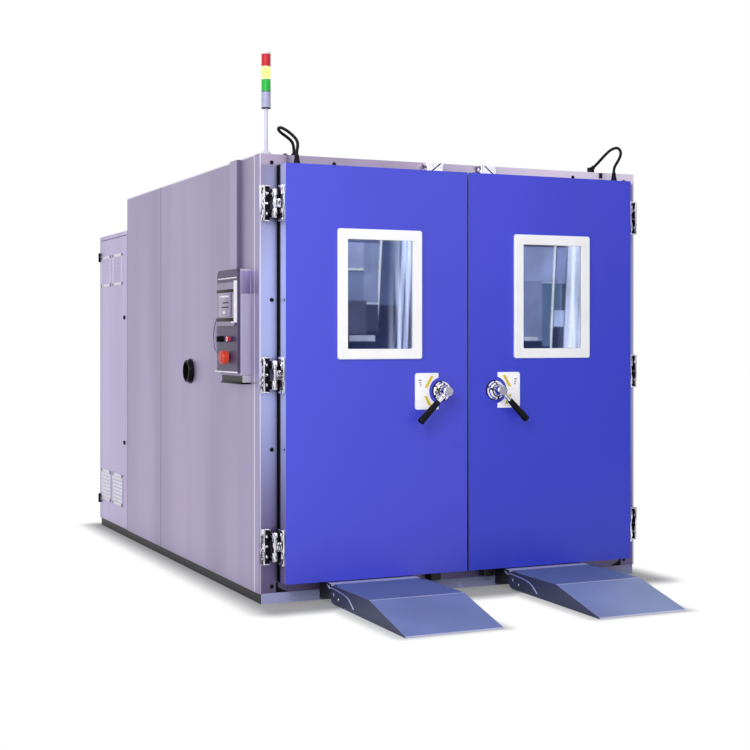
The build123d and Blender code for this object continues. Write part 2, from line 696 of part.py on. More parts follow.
# Left wall fittings
def make_cable_port():
    y, z = front + PORT_BACK, body_bottom + PORT_UP
    port = rod((wall_x - PORT_STAND, y, z), (-inner_half, y, z), PORT_OUTSIDE)
    port = fillet(port.edges().group_by(Axis.X)[0], 4)
    port += rod((wall_x - 5, y, z), (wall_x, y, z), PORT_FLANGE)
    port += rod((-inner_half, y, z), (-inner_half + 4, y, z), PORT_FLANGE)
    return port - rod((wall_x - PORT_STAND - 1, y, z), (-inner_half + 5, y, z), PORT_BORE)


def make_cable_cover():
    cover = block(wall_x - COVER_DEPTH, wall_x, front + COVER_FRONT,
                  front + COVER_FRONT + COVER_LENGTH, box_top, body_top - 2)
    return chamfer(cover.edges().filter_by(Axis.Z).group_by(Axis.X)[0], 3)


def make_control_box():
    """A folded sheet housing with a lower mounting ledge."""
    box = block(box_x, wall_x, box_front, box_back, box_bottom, box_top)
    box = fillet(box.edges().filter_by(Axis.X), 6)
    ledge = block(wall_x - 40, wall_x, box_front + 2, box_back + 2, box_bottom - 34, box_bottom)
    for y, z in (stem_place(SWITCH_FROM_FRONT, SWITCH_UP), stem_place(STOP_FROM_FRONT, STOP_UP)):
        box -= rod((box_x - 1, y, z), (box_x + STEM_REACH + STOP_TRAVEL + 2, y, z),
                   BUTTON_STEM + 2 * RUNNING_FIT)
    return box + ledge


def make_control_fascia():
    low = box_bottom + FASCIA_LIP
    fascia = block(fascia_x, box_x, box_front, box_back, low, box_top)
    fascia = fillet(fascia.edges().filter_by(Axis.X).group_by(Axis.Z)[-1], FASCIA_CORNER)
    fascia = fillet(fascia.edges().group_by(Axis.X)[0], 2)
    for y, z in (stem_place(SWITCH_FROM_FRONT, SWITCH_UP), stem_place(STOP_FROM_FRONT, STOP_UP)):
        fascia -= rod((fascia_x - 1, y, z), (box_x + 1, y, z), BUTTON_STEM + 2 * RUNNING_FIT)
    y, z = stem_place(LAMP_FROM_FRONT, SWITCH_UP)
    lamp = rod((fascia_x, y, z), (fascia_x - LAMP_STAND, y, z), SWITCH_DIAMETER * 0.85)
    return fascia + fillet(lamp.edges().group_by(Axis.X)[0], 4)


def stem_place(from_front, up):
    return box_front + from_front, box_bottom + up


def make_touch_screen():
    z = box_bottom + SCREEN_UP
    y = box_front + 32
    screen = block(fascia_x - SCREEN_STAND, fascia_x, y, y + SCREEN_LENGTH, z, z + SCREEN_HEIGHT)
    screen = fillet(screen.edges().filter_by(Axis.X), 8)
    return screen - block(fascia_x - SCREEN_STAND - 1, fascia_x - SCREEN_STAND + 2, y + 22,
                          y + SCREEN_LENGTH - 22, z + 42, z + SCREEN_HEIGHT - 52)


def make_power_switch():
    y, z = stem_place(SWITCH_FROM_FRONT, SWITCH_UP)
    knob = rod((fascia_x - 0.5, y, z), (fascia_x - 20, y, z), SWITCH_DIAMETER)
    knob = fillet(knob.edges().group_by(Axis.X)[0], 2)
    knob += block(fascia_x - 32, fascia_x - 19, y - 4, y + 4, z - 14, z + 14)
    return knob + rod((fascia_x - 1, y, z), (box_x + STEM_REACH, y, z), BUTTON_STEM)


def make_emergency_stop():
    y, z = stem_place(STOP_FROM_FRONT, STOP_UP)
    neck = rod((fascia_x - 26, y, z), (box_x + STEM_REACH, y, z), BUTTON_STEM)
    head = rod((fascia_x - STOP_TRAVEL - 2, y, z), (fascia_x - 46, y, z), STOP_DIAMETER)
    head = fillet(head.edges().group_by(Axis.X)[0], 12)
    return head + neck


# Signal tower
def make_tower_stand():
    x, y, z = -half_width + TOWER_IN, front + TOWER_BACK, body_top
    profile = Polyline((0, 0), (TOWER_FOOT / 2, 0), (TOWER_FOOT / 2, 6), (TOWER_POLE / 2, 26),
                       (TOWER_POLE / 2, TOWER_POLE_HEIGHT), (TOWER_DIAMETER / 2, TOWER_POLE_HEIGHT),
                       (TOWER_DIAMETER / 2, TOWER_POLE_HEIGHT + TOWER_BODY_HEIGHT),
                       (0, TOWER_POLE_HEIGHT + TOWER_BODY_HEIGHT), close=True)
    return Pos(x, y, z) * revolve(make_face(Plane.XZ * profile), axis=Axis.Z)


def make_lens(index):
    x, y = -half_width + TOWER_IN, front + TOWER_BACK
    z = body_top + TOWER_POLE_HEIGHT + TOWER_BODY_HEIGHT + index * LENS_HEIGHT
    lens = rod((x, y, z), (x, y, z + LENS_HEIGHT), TOWER_DIAMETER)
    if index == 2:
        lens += rod((x, y, z + LENS_HEIGHT), (x, y, z + LENS_HEIGHT + 14), TOWER_DIAMETER)
    return chamfer(lens.edges().group_by(Axis.Z)[-1], 3 if index == 2 else 1)


# Cables over the door hinges
def roof_gland_place(side, inset):
    return side * (half_width - inset), front + ROOF_GLAND_BACK


def elbow_end():
    """Where the right cable enters its roof gland, and the direction that the elbow points in."""
    x, y = roof_gland_place(1, RIGHT_GLAND_IN)
    rise = math.radians(RIGHT_ELBOW_RISE)
    out = (math.cos(rise), 0.0, math.sin(rise))
    z = body_top + RIGHT_GLAND_SIZE * 0.6
    return (x + RIGHT_ELBOW_REACH * out[0], y, z + RIGHT_ELBOW_REACH * out[2]), out


def make_roof_glands():
    x, y = roof_gland_place(-1, LEFT_GLAND_IN)
    dome = rod((x, y, body_top), (x, y, body_top + LEFT_GLAND_HEIGHT), LEFT_GLAND_DIAMETER)
    dome = chamfer(dome.edges().group_by(Axis.Z)[-1], 4)
    x, y = roof_gland_place(1, RIGHT_GLAND_IN)
    half = RIGHT_GLAND_SIZE / 2
    socket = block(x - half, x + half, y - half, y + half, body_top, body_top + RIGHT_GLAND_SIZE)
    socket = fillet(socket.edges().filter_by(Axis.Z), 5)
    elbow = rod((x, y, body_top + RIGHT_GLAND_SIZE * 0.6), elbow_end()[0], CABLE_DIAMETER + 7)
    return Compound([dome, socket + elbow])


def cable_route(side):
    """Hand-set route points from the door gland over the hinge to the roof gland."""
    start = (side * (half_width - DOOR_GLAND_IN), front - DOOR_GLAND_OUT,
             door_top + DOOR_GLAND_HEIGHT)
    if side < 0:
        x, y = roof_gland_place(-1, LEFT_GLAND_IN)
        end = (x, y, body_top + LEFT_GLAND_HEIGHT)
        between = [(-901.0, -1285.0, 2166.0), (-894.0, -1282.0, 2188.0), (-895.0, -1275.0, 2216.0),
                   (-920.0, -1265.0, 2245.0), (-948.0, -1256.0, 2266.0), (-970.0, -1248.0, 2277.0),
                   (-974.0, -1222.0, 2274.0), (-957.0, -1208.0, 2259.0), (-919.0, -1198.0, 2241.0),
                   (-885.0, -1186.0, 2220.0), (-875.0, -1180.0, 2190.0)]
    else:
        end, out = elbow_end()
        before_end = tuple(place + 26 * way for place, way in zip(end, out))
        between = [(901.0, -1285.0, 2168.0), (917.0, -1285.0, 2194.0), (938.0, -1283.0, 2222.0),
                   (956.0, -1275.0, 2258.0), (944.0, -1260.0, 2286.0), (914.0, -1242.0, 2276.0),
                   (891.0, -1220.0, 2248.0), (875.0, -1196.0, 2220.0), before_end]
    return [start] + between + [end]


def make_cable(side):
    """A tube of straight runs and tangent arcs along the route."""
    route = [Vector(*point) for point in cable_route(side)]
    radii = []
    for before, here, after in zip(route, route[1:], route[2:]):
        arriving, leaving = here - before, after - here
        turn = math.radians(arriving.get_angle(leaving))
        radii.append(0.45 * min(arriving.length, leaving.length) / math.tan(turn / 2))
    print("cable", side, "radii", [round(r) for r in radii])
    path = FilletPolyline(*route, radius=radii)
    section = Plane(origin=path @ 0, z_dir=path % 0) * Circle(CABLE_DIAMETER / 2)
    cable = sweep(section, path=path)
    area = math.pi * CABLE_DIAMETER ** 2 / 4
    print("cable", side, "length", round(path.length), "volume share",
          round(cable.volume / (area * path.length), 4))
    return cable


# Machine compartment
def make_machine_cover():
    """Top, right side and back of the compartment, with the fan opening and hinge brackets."""
    shell = block(-half_width, half_width, rear, machine_rear, body_bottom, machine_top)
    shell -= block(-half_width - 1, half_width - COVER_SHEET, rear - 1, machine_rear - COVER_SHEET,
                   body_bottom - 1, machine_top - COVER_SHEET)
    strike_x = -half_width + ACCESS_THICKNESS + 0.4
    shell += block(strike_x, strike_x + STRIKE_THICKNESS, rear, rear + STRIKE_WIDTH,
                   body_bottom, machine_top - COVER_SHEET + 1)
    opening = rod((0, machine_rear - COVER_SHEET - 1, condenser_fan_z),
                  (0, machine_rear + 1, condenser_fan_z), CONDENSER_FAN_DIAMETER + 20)
    shell -= opening
    guard = Compound([])
    radius = CONDENSER_FAN_DIAMETER / 2
    y0, y1 = machine_rear - 8, machine_rear - 3
    for ring in (0.25, 0.5, 0.75):
        guard += tube((0, y0, condenser_fan_z), (0, y1, condenser_fan_z),
                      2 * radius * ring + 8, 2 * radius * ring)
    for turn in range(0, 180, 45):
        bar = Box(2 * radius + 30, y1 - y0, 6)
        guard += Pos(0, (y0 + y1) / 2, condenser_fan_z) * Rot(0, turn, 0) * bar
    shell += guard
    for up in ACCESS_HINGE_UP:
        z = body_bottom + up
        for end in (-1, 1):
            z0 = z + end * ACCESS_HINGE_LENGTH / 2
            z1 = z + end * ACCESS_HINGE_LENGTH / 6 + end * 0.5
            shell += access_knuckle(machine_rear - 20, machine_rear, min(z0, z1), max(z0, z1))
        shell += rod((access_axis_x, access_axis_y, z - ACCESS_HINGE_LENGTH / 2),
                     (access_axis_x, access_axis_y, z + ACCESS_HINGE_LENGTH / 2), ACCESS_PIN)
    return shell


def access_knuckle(y0, y1, z0, z1):
    """A hinge knuckle on the compartment's rear corner or on the access door."""
    knuckle = Plane.XY.offset(z0) * Pos(access_axis_x, access_axis_y, 0) * Circle(ACCESS_BARREL / 2)
    foot = Plane.XY.offset(z0) * Pos(-half_width + 0.5, (y0 + y1) / 2, 0) * Rectangle(1, y1 - y0)
    return extrude(make_hull(knuckle.edges() + foot.edges()), amount=z1 - z0)


def make_access_door():
    """The louvred service door on the left side of the compartment."""
    low, high = body_bottom + ACCESS_GAP, machine_top - COVER_SHEET - ACCESS_GAP
    x0, x1 = -half_width, -half_width + ACCESS_THICKNESS
    door = block(x0, x1, access_front, access_back, low, high)
    for up in VENT_CENTRES_UP:
        for back in VENT_CENTRES_BACK:
            y, z = rear + back, body_bottom + up
            door += block(x0 - 3, x0, y - VENT_WIDTH / 2, y + VENT_WIDTH / 2,
                          z - VENT_HEIGHT / 2, z + VENT_HEIGHT / 2)
            pitch = (VENT_HEIGHT - 40) / VENT_SLOTS
            for slot in range(VENT_SLOTS):
                z0 = z - VENT_HEIGHT / 2 + 20 + slot * pitch
                door -= block(x0 - 4, x1 + 1, y - VENT_WIDTH / 2 + 20, y + VENT_WIDTH / 2 - 20,
                              z0 + pitch * 0.2, z0 + pitch * 0.8)
    for up in LATCH_UP:
        y, z = rear + LATCH_FROM_FRONT, body_bottom + up
        door -= rod((x0 - 1, y, z), (x1 + 1, y, z), 12 + 2 * RUNNING_FIT)
    for up in ACCESS_HINGE_UP:
        z = body_bottom + up
        half = ACCESS_HINGE_LENGTH / 6 - 0.3
        knuckle = access_knuckle(access_back - 20, access_back, z - half, z + half)
        door += knuckle
        door -= rod((access_axis_x, access_axis_y, z - half - 1),
                    (access_axis_x, access_axis_y, z + half + 1), ACCESS_PIN + 2 * RUNNING_FIT)
    return door


def make_panel_latch(up):
    """A quarter-turn latch with a slotted head and a tongue behind the door."""
    y, z = rear + LATCH_FROM_FRONT, body_bottom + up
    x0, x1 = -half_width, -half_width + ACCESS_THICKNESS
    head = rod((x0 - 0.3, y, z), (x0 - 7, y, z), LATCH_DIAMETER)
    head = fillet(head.edges().group_by(Axis.X)[0], 2)
    head -= block(x0 - 8, x0 - 5, y - 2, y + 2, z - 9, z + 9)
    stem = rod((x0 - 1, y, z), (x1 + STRIKE_THICKNESS + 3, y, z), 12)
    inside = x1 + STRIKE_THICKNESS + 1
    tongue = block(inside, inside + 4, y - 9, y + 9, z - LATCH_REACH, z + 9)
    return head + stem + tongue


# Air handling inside the chamber
def make_air_duct_panel():
    """The sheet in front of the evaporator, with a supply grille above and a return below."""
    panel = block(-inner_half + 1, inner_half - 1, duct_y, duct_y + DUCT_SHEET, floor_top, ceiling)
    for i in range(-6, 7):
        x = i * 90
        panel -= block(x - 30, x + 30, duct_y - 1, duct_y + DUCT_SHEET + 1,
                       ceiling - 330, ceiling - 90)
        panel -= block(x - 30, x + 30, duct_y - 1, duct_y + DUCT_SHEET + 1,
                       floor_top + 60, floor_top + 260)
    return panel


def coil(x, y, z, width, depth, height):
    """A finned coil: two end plates, straight tubes and evenly spaced fins."""
    ends = []
    for x0 in (x - width / 2, x + width / 2 - COIL_END):
        ends.append(block(x0, x0 + COIL_END, y - depth / 2, y + depth / 2, z, z + height))
    part = ends[0] + ends[1]
    for row in range(5):
        tube_z = z + height * (row + 0.5) / 5
        part += block(x - width / 2, x + width / 2, y - 9, y + 9, tube_z - 9, tube_z + 9)
    for i in range(1, COIL_FINS):
        fin_x = x - width / 2 + width * i / COIL_FINS
        part += block(fin_x - 1, fin_x + 1, y - depth / 2 + 3, y + depth / 2 - 3, z, z + height)
    return part


def make_evaporator():
    y = fan_y + 20
    body = coil(0, y, floor_top + 420, EVAPORATOR_WIDTH, EVAPORATOR_DEPTH, EVAPORATOR_HEIGHT)
    for side in (-1, 1):
        x = side * (EVAPORATOR_WIDTH / 2 - 10)
        body += block(x - 10, x + 10, y, rear - WALL_THICKNESS, floor_top + 440, floor_top + 480)
        body += block(x - 10, x + 10, y, rear - WALL_THICKNESS, floor_top + 1060, floor_top + 1100)
    return body


def make_condenser():
    y = machine_rear - COVER_SHEET - 200
    body = coil(0, y, condenser_fan_z - CONDENSER_HEIGHT / 2, CONDENSER_WIDTH, CONDENSER_DEPTH,
                CONDENSER_HEIGHT)
    for side in (-1, 1):
        x = side * (CONDENSER_WIDTH - COIL_END) / 2
        body += block(x - COIL_END / 2, x + COIL_END / 2, y, machine_rear - COVER_SHEET,
                      condenser_fan_z - CONDENSER_HEIGHT / 2, condenser_fan_z + CONDENSER_HEIGHT / 2)
    return body


def fan_wheel(blades, radius, hub, width, pitch):
    """An axial wheel about Z, its blades set at a pitch angle between hub and tip."""
    wheel = Cylinder(hub, width)
    for i in range(blades):
        blade = Pos(0, (radius + hub) / 2 - 4, 0) * Rot(0, pitch, 0)
        blade = blade * Box(radius * 0.42, radius - hub + 6, 3)
        wheel += Rot(0, 0, 360 * i / blades) * blade
    return wheel & Cylinder(radius, width * 3)


def make_circulation_fan():
    wheel = fan_wheel(FAN_BLADES, FAN_DIAMETER / 2, 40, 50, 32)
    fan = Pos(0, fan_y, fan_z) * Rot(90, 0, 0) * wheel
    return fan + rod((0, fan_y, fan_z), (0, rear + 40, fan_z), FAN_SHAFT)


def make_condenser_fan():
    y = machine_rear - COVER_SHEET - 50
    wheel = fan_wheel(5, CONDENSER_FAN_DIAMETER / 2, 50, 40, 28)
    fan = Pos(0, y, condenser_fan_z) * Rot(90, 0, 0) * wheel
    return fan + rod((0, y, condenser_fan_z), (0, y - 50, condenser_fan_z), 14)


def make_fan_motors():
    """The circulation motor on the rear wall and the condenser motor on its bracket."""
    motor = rod((0, rear, fan_z), (0, rear + MOTOR_LENGTH, fan_z), MOTOR_DIAMETER)
    motor = chamfer(motor.edges().group_by(Axis.Y)[-1], 8)
    motor += rod((0, rear, fan_z), (0, rear + 12, fan_z), MOTOR_DIAMETER + 60)
    motor -= rod((0, rear - 1, fan_z), (0, rear + 60, fan_z), FAN_SHAFT + 2 * RUNNING_FIT)
    y = machine_rear - COVER_SHEET - 50
    small = rod((0, y - 25, condenser_fan_z), (0, y - 105, condenser_fan_z), 90)
    small -= rod((0, y - 24, condenser_fan_z), (0, y - 60, condenser_fan_z), 14 + 2 * RUNNING_FIT)
    bar_half = CONDENSER_WIDTH / 2 - COIL_END
    small += block(-bar_half, bar_half, y - 100, y - 70, condenser_fan_z - 12, condenser_fan_z + 12)
    return Compound([motor, small])


def make_compressors():
    """Two hermetic compressors on feet that stand on the base frame's rear cross member."""
    units = []
    y = rear + 190
    for side in (-1, 1):
        x = side * COMPRESSOR_SPACING / 2
        can = rod((x, y, BASE_HEIGHT + 30), (x, y, BASE_HEIGHT + 30 + COMPRESSOR_HEIGHT),
                  COMPRESSOR_DIAMETER)
        can = fillet(can.edges().group_by(Axis.Z)[-1], 40)
        can += block(x - 130, x + 130, rear, y + 110, BASE_HEIGHT + 18, BASE_HEIGHT + 30)
        can += block(x - 110, x - 70, rear, rear + 28, BASE_HEIGHT, BASE_HEIGHT + 18)
        can += block(x + 70, x + 110, rear, rear + 28, BASE_HEIGHT, BASE_HEIGHT + 18)
        units.append(can)
    return Compound(units)


nodes = {
    "base_frame": make_base_frame(),
    "floor_panel": make_floor_panel(),
    "left_wall": make_left_wall(),
    "right_wall": make_right_wall(),
    "rear_wall": make_rear_wall(),
    "roof_panel": make_roof_panel(),
    "door_frame": make_door_frame(),
    "hinge_brackets": make_hinge_brackets(),
    "bolt_keepers": make_keepers(),
    "cable_port": make_cable_port(),
    "cable_cover": make_cable_cover(),
    "control_box": make_control_box(),
    "control_fascia": make_control_fascia(),
    "touch_screen": make_touch_screen(),
    "power_switch": make_power_switch(),
    "emergency_stop": make_emergency_stop(),
    "tower_stand": make_tower_stand(),
    "green_lens": make_lens(0),
    "amber_lens": make_lens(1),
    "red_lens": make_lens(2),
    "roof_glands": make_roof_glands(),
    "left_door_cable": make_cable(-1),
    "right_door_cable": make_cable(1),
    "machine_cover": make_machine_cover(),
    "access_door": make_access_door(),
    "lower_panel_latch": make_panel_latch(LATCH_UP[0]),
    "upper_panel_latch": make_panel_latch(LATCH_UP[1]),
    "air_duct_panel": make_air_duct_panel(),
    "evaporator_coil": make_evaporator(),
    "circulation_fan": make_circulation_fan(),
    "fan_motors": make_fan_motors(),
    "condenser_coil": make_condenser(),
    "condenser_fan": make_condenser_fan(),
    "compressors": make_compressors(),
    "left_ramp": make_ramp(ramp_centres[0]),
    "right_ramp": make_ramp(ramp_centres[1]),
}

left_door_pieces = {
    "door_skin": make_door_skin(),
    "door_body": make_door_body(),
    "door_gasket": make_door_gasket(),
    "window_frame": make_window_frame(),
    "window_glass": make_window_glass(),
    "hinge_leaves": make_hinge_leaves(),
    "handle_base": make_handle_base(),
    "handle_lever": make_lever(),
    "handle_grip": make_grip(),
    "lock_spindle": make_spindle(),
    "upper_bolt": rack_bar(True),
    "lower_bolt": rack_bar(False),
}
for name, piece in left_door_pieces.items():
    nodes["left_" + name] = piece
    nodes["right_" + name] = other_side(piece)

os.makedirs("parts", exist_ok=True)
for name, solid in nodes.items():
    export_step(solid, os.path.join("parts", name + ".step"))
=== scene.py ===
"""Environmental test chamber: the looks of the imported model, in metres and in the model's own frame."""
import math

import bmesh
import bpy
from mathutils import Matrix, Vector


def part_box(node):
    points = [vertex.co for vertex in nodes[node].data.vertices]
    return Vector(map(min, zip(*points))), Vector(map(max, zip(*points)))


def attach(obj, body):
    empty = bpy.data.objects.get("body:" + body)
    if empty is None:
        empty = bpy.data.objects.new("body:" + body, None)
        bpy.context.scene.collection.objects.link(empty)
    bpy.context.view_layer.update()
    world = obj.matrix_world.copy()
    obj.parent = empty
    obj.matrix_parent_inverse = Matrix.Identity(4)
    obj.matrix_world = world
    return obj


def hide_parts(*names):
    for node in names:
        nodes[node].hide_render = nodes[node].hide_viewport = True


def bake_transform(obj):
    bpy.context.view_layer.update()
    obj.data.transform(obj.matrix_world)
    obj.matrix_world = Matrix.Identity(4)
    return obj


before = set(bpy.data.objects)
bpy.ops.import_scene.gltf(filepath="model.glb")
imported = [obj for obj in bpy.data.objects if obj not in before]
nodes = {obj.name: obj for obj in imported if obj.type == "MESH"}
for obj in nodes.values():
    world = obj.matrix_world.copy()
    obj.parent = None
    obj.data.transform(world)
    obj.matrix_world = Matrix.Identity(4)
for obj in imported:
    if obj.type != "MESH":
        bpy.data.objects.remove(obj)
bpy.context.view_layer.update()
scene = bpy.context.scene
scene.view_settings.view_transform = "Standard"

# The camera stands at eye height, left of the doors, where the photograph was taken from.
lens = bpy.data.cameras.new("camera")
lens.sensor_width = 36.0
lens.lens = 67.98
lens.shift_y = -0.0505
camera = bpy.data.objects.new("camera", lens)
camera.location = (-3.3694, -7.5901, 1.2742)
camera.rotation_euler = (math.radians(90), 0, math.radians(-24.54))
scene.collection.objects.link(camera)
scene.camera = camera


# Door-heater cables: round black rubber cables that bridge the hinge line, from the gland on each
# door's top edge to a gland on the roof.
class Wire:
    """A shader socket that Python's operators work on. Each operator adds a Math node."""

    def __init__(self, recipe, socket):
        self.recipe = recipe
        self.socket = socket

    def maths(self, operation, *values):
        return self.recipe.node("Math", {"operation": operation}, dict(enumerate(values)))

    def __add__(self, other):
        return self.maths("ADD", self, other)

    def __radd__(self, other):
        return self.maths("ADD", other, self)

    def __sub__(self, other):
        return self.maths("SUBTRACT", self, other)

    def __rsub__(self, other):
        return self.maths("SUBTRACT", other, self)

    def __mul__(self, other):
        return self.maths("MULTIPLY", self, other)

    def __rmul__(self, other):
        return self.maths("MULTIPLY", other, self)

    def __truediv__(self, other):
        return self.maths("DIVIDE", self, other)

    def __mod__(self, other):
        return self.maths("FLOORED_MODULO", self, other)

    def __gt__(self, other):
        return self.maths("GREATER_THAN", self, other)

    def __lt__(self, other):
        return self.maths("LESS_THAN", self, other)

    def __abs__(self):
        return self.maths("ABSOLUTE", self)

    def at_least(self, other):
        return self.maths("MAXIMUM", self, other)

    def root(self):
        return self.maths("SQRT", self)

    def rise(self, low, high):
        """0 below low, 1 above high, smooth between."""
        return self.recipe.node("MapRange", {"interpolation_type": "SMOOTHSTEP"},
                                {"Value": self, "From Min": low, "From Max": high})


class Recipe:
    """A finish in the making, on a material's Principled shader or on a world."""

    def __init__(self, name, owner=None):
        self.owner = owner or bpy.data.materials.new(name)
        self.owner.use_nodes = True
        self.tree = self.owner.node_tree
        self.shader = self.tree.nodes.get("Principled BSDF")

    def node(self, kind, settings=None, sockets=None, out=0):
        """Adds a node: its type, its settings, then the values or links of its sockets."""
        made = self.tree.nodes.new("ShaderNode" + kind)
        for key, value in (settings or {}).items():
            setattr(made, key, value)
        for key, value in (sockets or {}).items():
            self.join(made.inputs[key], value)
        return Wire(self, made.outputs[out])

    def join(self, socket, value):
        if isinstance(value, Wire):
            self.tree.links.new(value.socket, socket)
        elif socket.type == "RGBA":
            socket.default_value = (*value, 1.0)
        else:
            socket.default_value = value

    def place(self):
        return self.node("TexCoord", out="Object")

    def axes(self):
        """The object coordinates as three wires."""
        where = self.place()
        split = self.node("SeparateXYZ", None, {0: where})
        return [Wire(self, split.socket.node.outputs[i]) for i in range(3)]

    def sideways(self):
        """1 on faces that look along x, 0 on the rest."""
        normal = self.node("TexCoord", out="Normal")
        split = self.node("SeparateXYZ", None, {0: normal})
        return abs(Wire(self, split.socket.node.outputs[0])).rise(0.6, 0.8)

    def painted_reflection_bands(self, wave):
        """Painted reflection: dark and bright bands by facing, as polished metal shows between studio
        lights.
        """
        normal = self.node("TexCoord", out="Normal")
        facing = self.node("VectorMath", {"operation": "DOT_PRODUCT"},
                           {0: normal, 1: (1.7, 0.3, 1.3)}, "Value")
        return abs((facing + 1.5 * wave) % 1 - 0.5).rise(0.31, 0.40)

    def cloud(self, scale, detail=2.0, stretch=(1.0, 1.0, 1.0)):
        where = self.node("VectorMath", {"operation": "MULTIPLY"}, {0: self.place(), 1: stretch})
        return self.node("TexNoise", None, {"Vector": where, "Scale": scale, "Detail": detail})

    def blend(self, share, first, second):
        return self.node("Mix", {"data_type": "RGBA"}, {0: share, 6: first, 7: second}, out=2)

    def bump(self, height, strength, distance):
        return self.node("Bump", None, {"Strength": strength, "Distance": distance, "Height": height})

    def dress(self, sockets):
        for key, value in sockets.items():
            self.join(self.shader.inputs[key], value)
        return self.owner


def rubber(name, colour, roughness):
    """Moulded rubber: near black, with a fine matt skin and a few rubbed patches."""
    recipe = Recipe(name)
    skin = recipe.cloud(2200, 2)
    rubbed = recipe.cloud(35, 3).rise(0.5, 0.75)
    pale = tuple(c * 1.5 + 0.001 for c in colour)
    return recipe.dress({
        "Base Color": recipe.blend(rubbed, colour, pale),
        "Roughness": roughness - 0.12 * rubbed + 0.05 * skin,
        "Specular IOR Level": 0.14,
        "Normal": recipe.bump(skin, 0.25, 0.0003),
    })


def centreline(name, route):
    """The points of a smooth NURBS line through the route's control points."""
    curve = bpy.data.curves.new(name + "_line", "CURVE")
    curve.dimensions = "3D"
    curve.resolution_u = 10
    spline = curve.splines.new("NURBS")
    spline.points.add(len(route) - 1)
    for point, place in zip(spline.points, route):
        point.co = (*place, 1.0)
    spline.order_u = 3
    spline.use_endpoint_u = True
    holder = bpy.data.objects.new(name + "_line", curve)
    scene.collection.objects.link(holder)
    mesh = bpy.data.meshes.new_from_object(holder)
    points = [vertex.co.copy() for vertex in mesh.vertices]
    bpy.data.objects.remove(holder)
    return points


def tube_along(points, radius, sides):
    """A closed round tube whose rings stand square to the line, without twist."""
    mesh = bmesh.new()
    rings = []
    across = Vector((1, 0, 0))
    for i, point in enumerate(points):
        along = (points[min(i + 1, len(points) - 1)] - points[max(i - 1, 0)]).normalized()
        across = (across - along * across.dot(along)).normalized()
        other = along.cross(across)
        rings.append([mesh.verts.new(point + radius * (across * math.cos(a) + other * math.sin(a)))
                      for a in (2 * math.pi * k / sides for k in range(sides))])
    for ring, following in zip(rings, rings[1:]):
        for k in range(sides):
            mesh.faces.new((ring[k], ring[(k + 1) % sides], following[(k + 1) % sides], following[k]))
    mesh.faces.new(list(reversed(rings[0])))
    mesh.faces.new(rings[-1])
    bmesh.ops.recalc_face_normals(mesh, faces=mesh.faces)
    return mesh


def finish_mesh(mesh, name, finishes, sharp=35):
    """Turns a bmesh into an object at the origin, smooth but for its sharp edges."""
    data = bpy.data.meshes.new(name)
    mesh.to_mesh(data)
    mesh.free()
    data.shade_smooth()
    data.set_sharp_from_angle(angle=math.radians(sharp))
    for finish in finishes:
        data.materials.append(finish)
    piece = bpy.data.objects.new(name, data)
    scene.collection.objects.link(piece)
    return piece


SIDES = (("left", -1), ("right", 1))
CABLE_ROUTES = {
    "left": [(-0.901, -1.285, 2.144), (-0.901, -1.285, 2.166), (-0.894, -1.282, 2.188),
             (-0.895, -1.275, 2.216), (-0.920, -1.265, 2.245), (-0.948, -1.256, 2.266),
             (-0.970, -1.248, 2.277), (-0.974, -1.222, 2.274), (-0.957, -1.208, 2.259),
             (-0.919, -1.198, 2.241), (-0.885, -1.186, 2.220), (-0.875, -1.180, 2.190),
             (-0.875, -1.180, 2.166)],
    "right": [(0.901, -1.285, 2.144), (0.901, -1.285, 2.168), (0.917, -1.285, 2.194),
              (0.938, -1.283, 2.222), (0.956, -1.275, 2.258), (0.944, -1.260, 2.286),
              (0.914, -1.242, 2.276), (0.891, -1.220, 2.248), (0.875, -1.196, 2.220),
              (0.863, -1.180, 2.200), (0.843, -1.180, 2.183)],
}
CABLE_DIAMETER = 0.015
cable_rubber = rubber("cable_rubber", (0.003, 0.003, 0.004), 0.45)
for side, _ in SIDES:
    route = CABLE_ROUTES[side]
    line = centreline(side + "_door_cable", route)
    cable = finish_mesh(tube_along(line, CABLE_DIAMETER / 2, 16), side + "_heater_cable", [cable_rubber])
    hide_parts(side + "_door_cable")
    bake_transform(cable)


# Cabinet panels: insulated panels faced in brushed stainless sheet, 100 mm thick, folded at their
# edges and joined on the side walls by upright seams.
def dress(finish, *names):
    """Gives CAD nodes a finish."""
    for name in names:
        for slot in nodes[name].material_slots:
            slot.material = finish


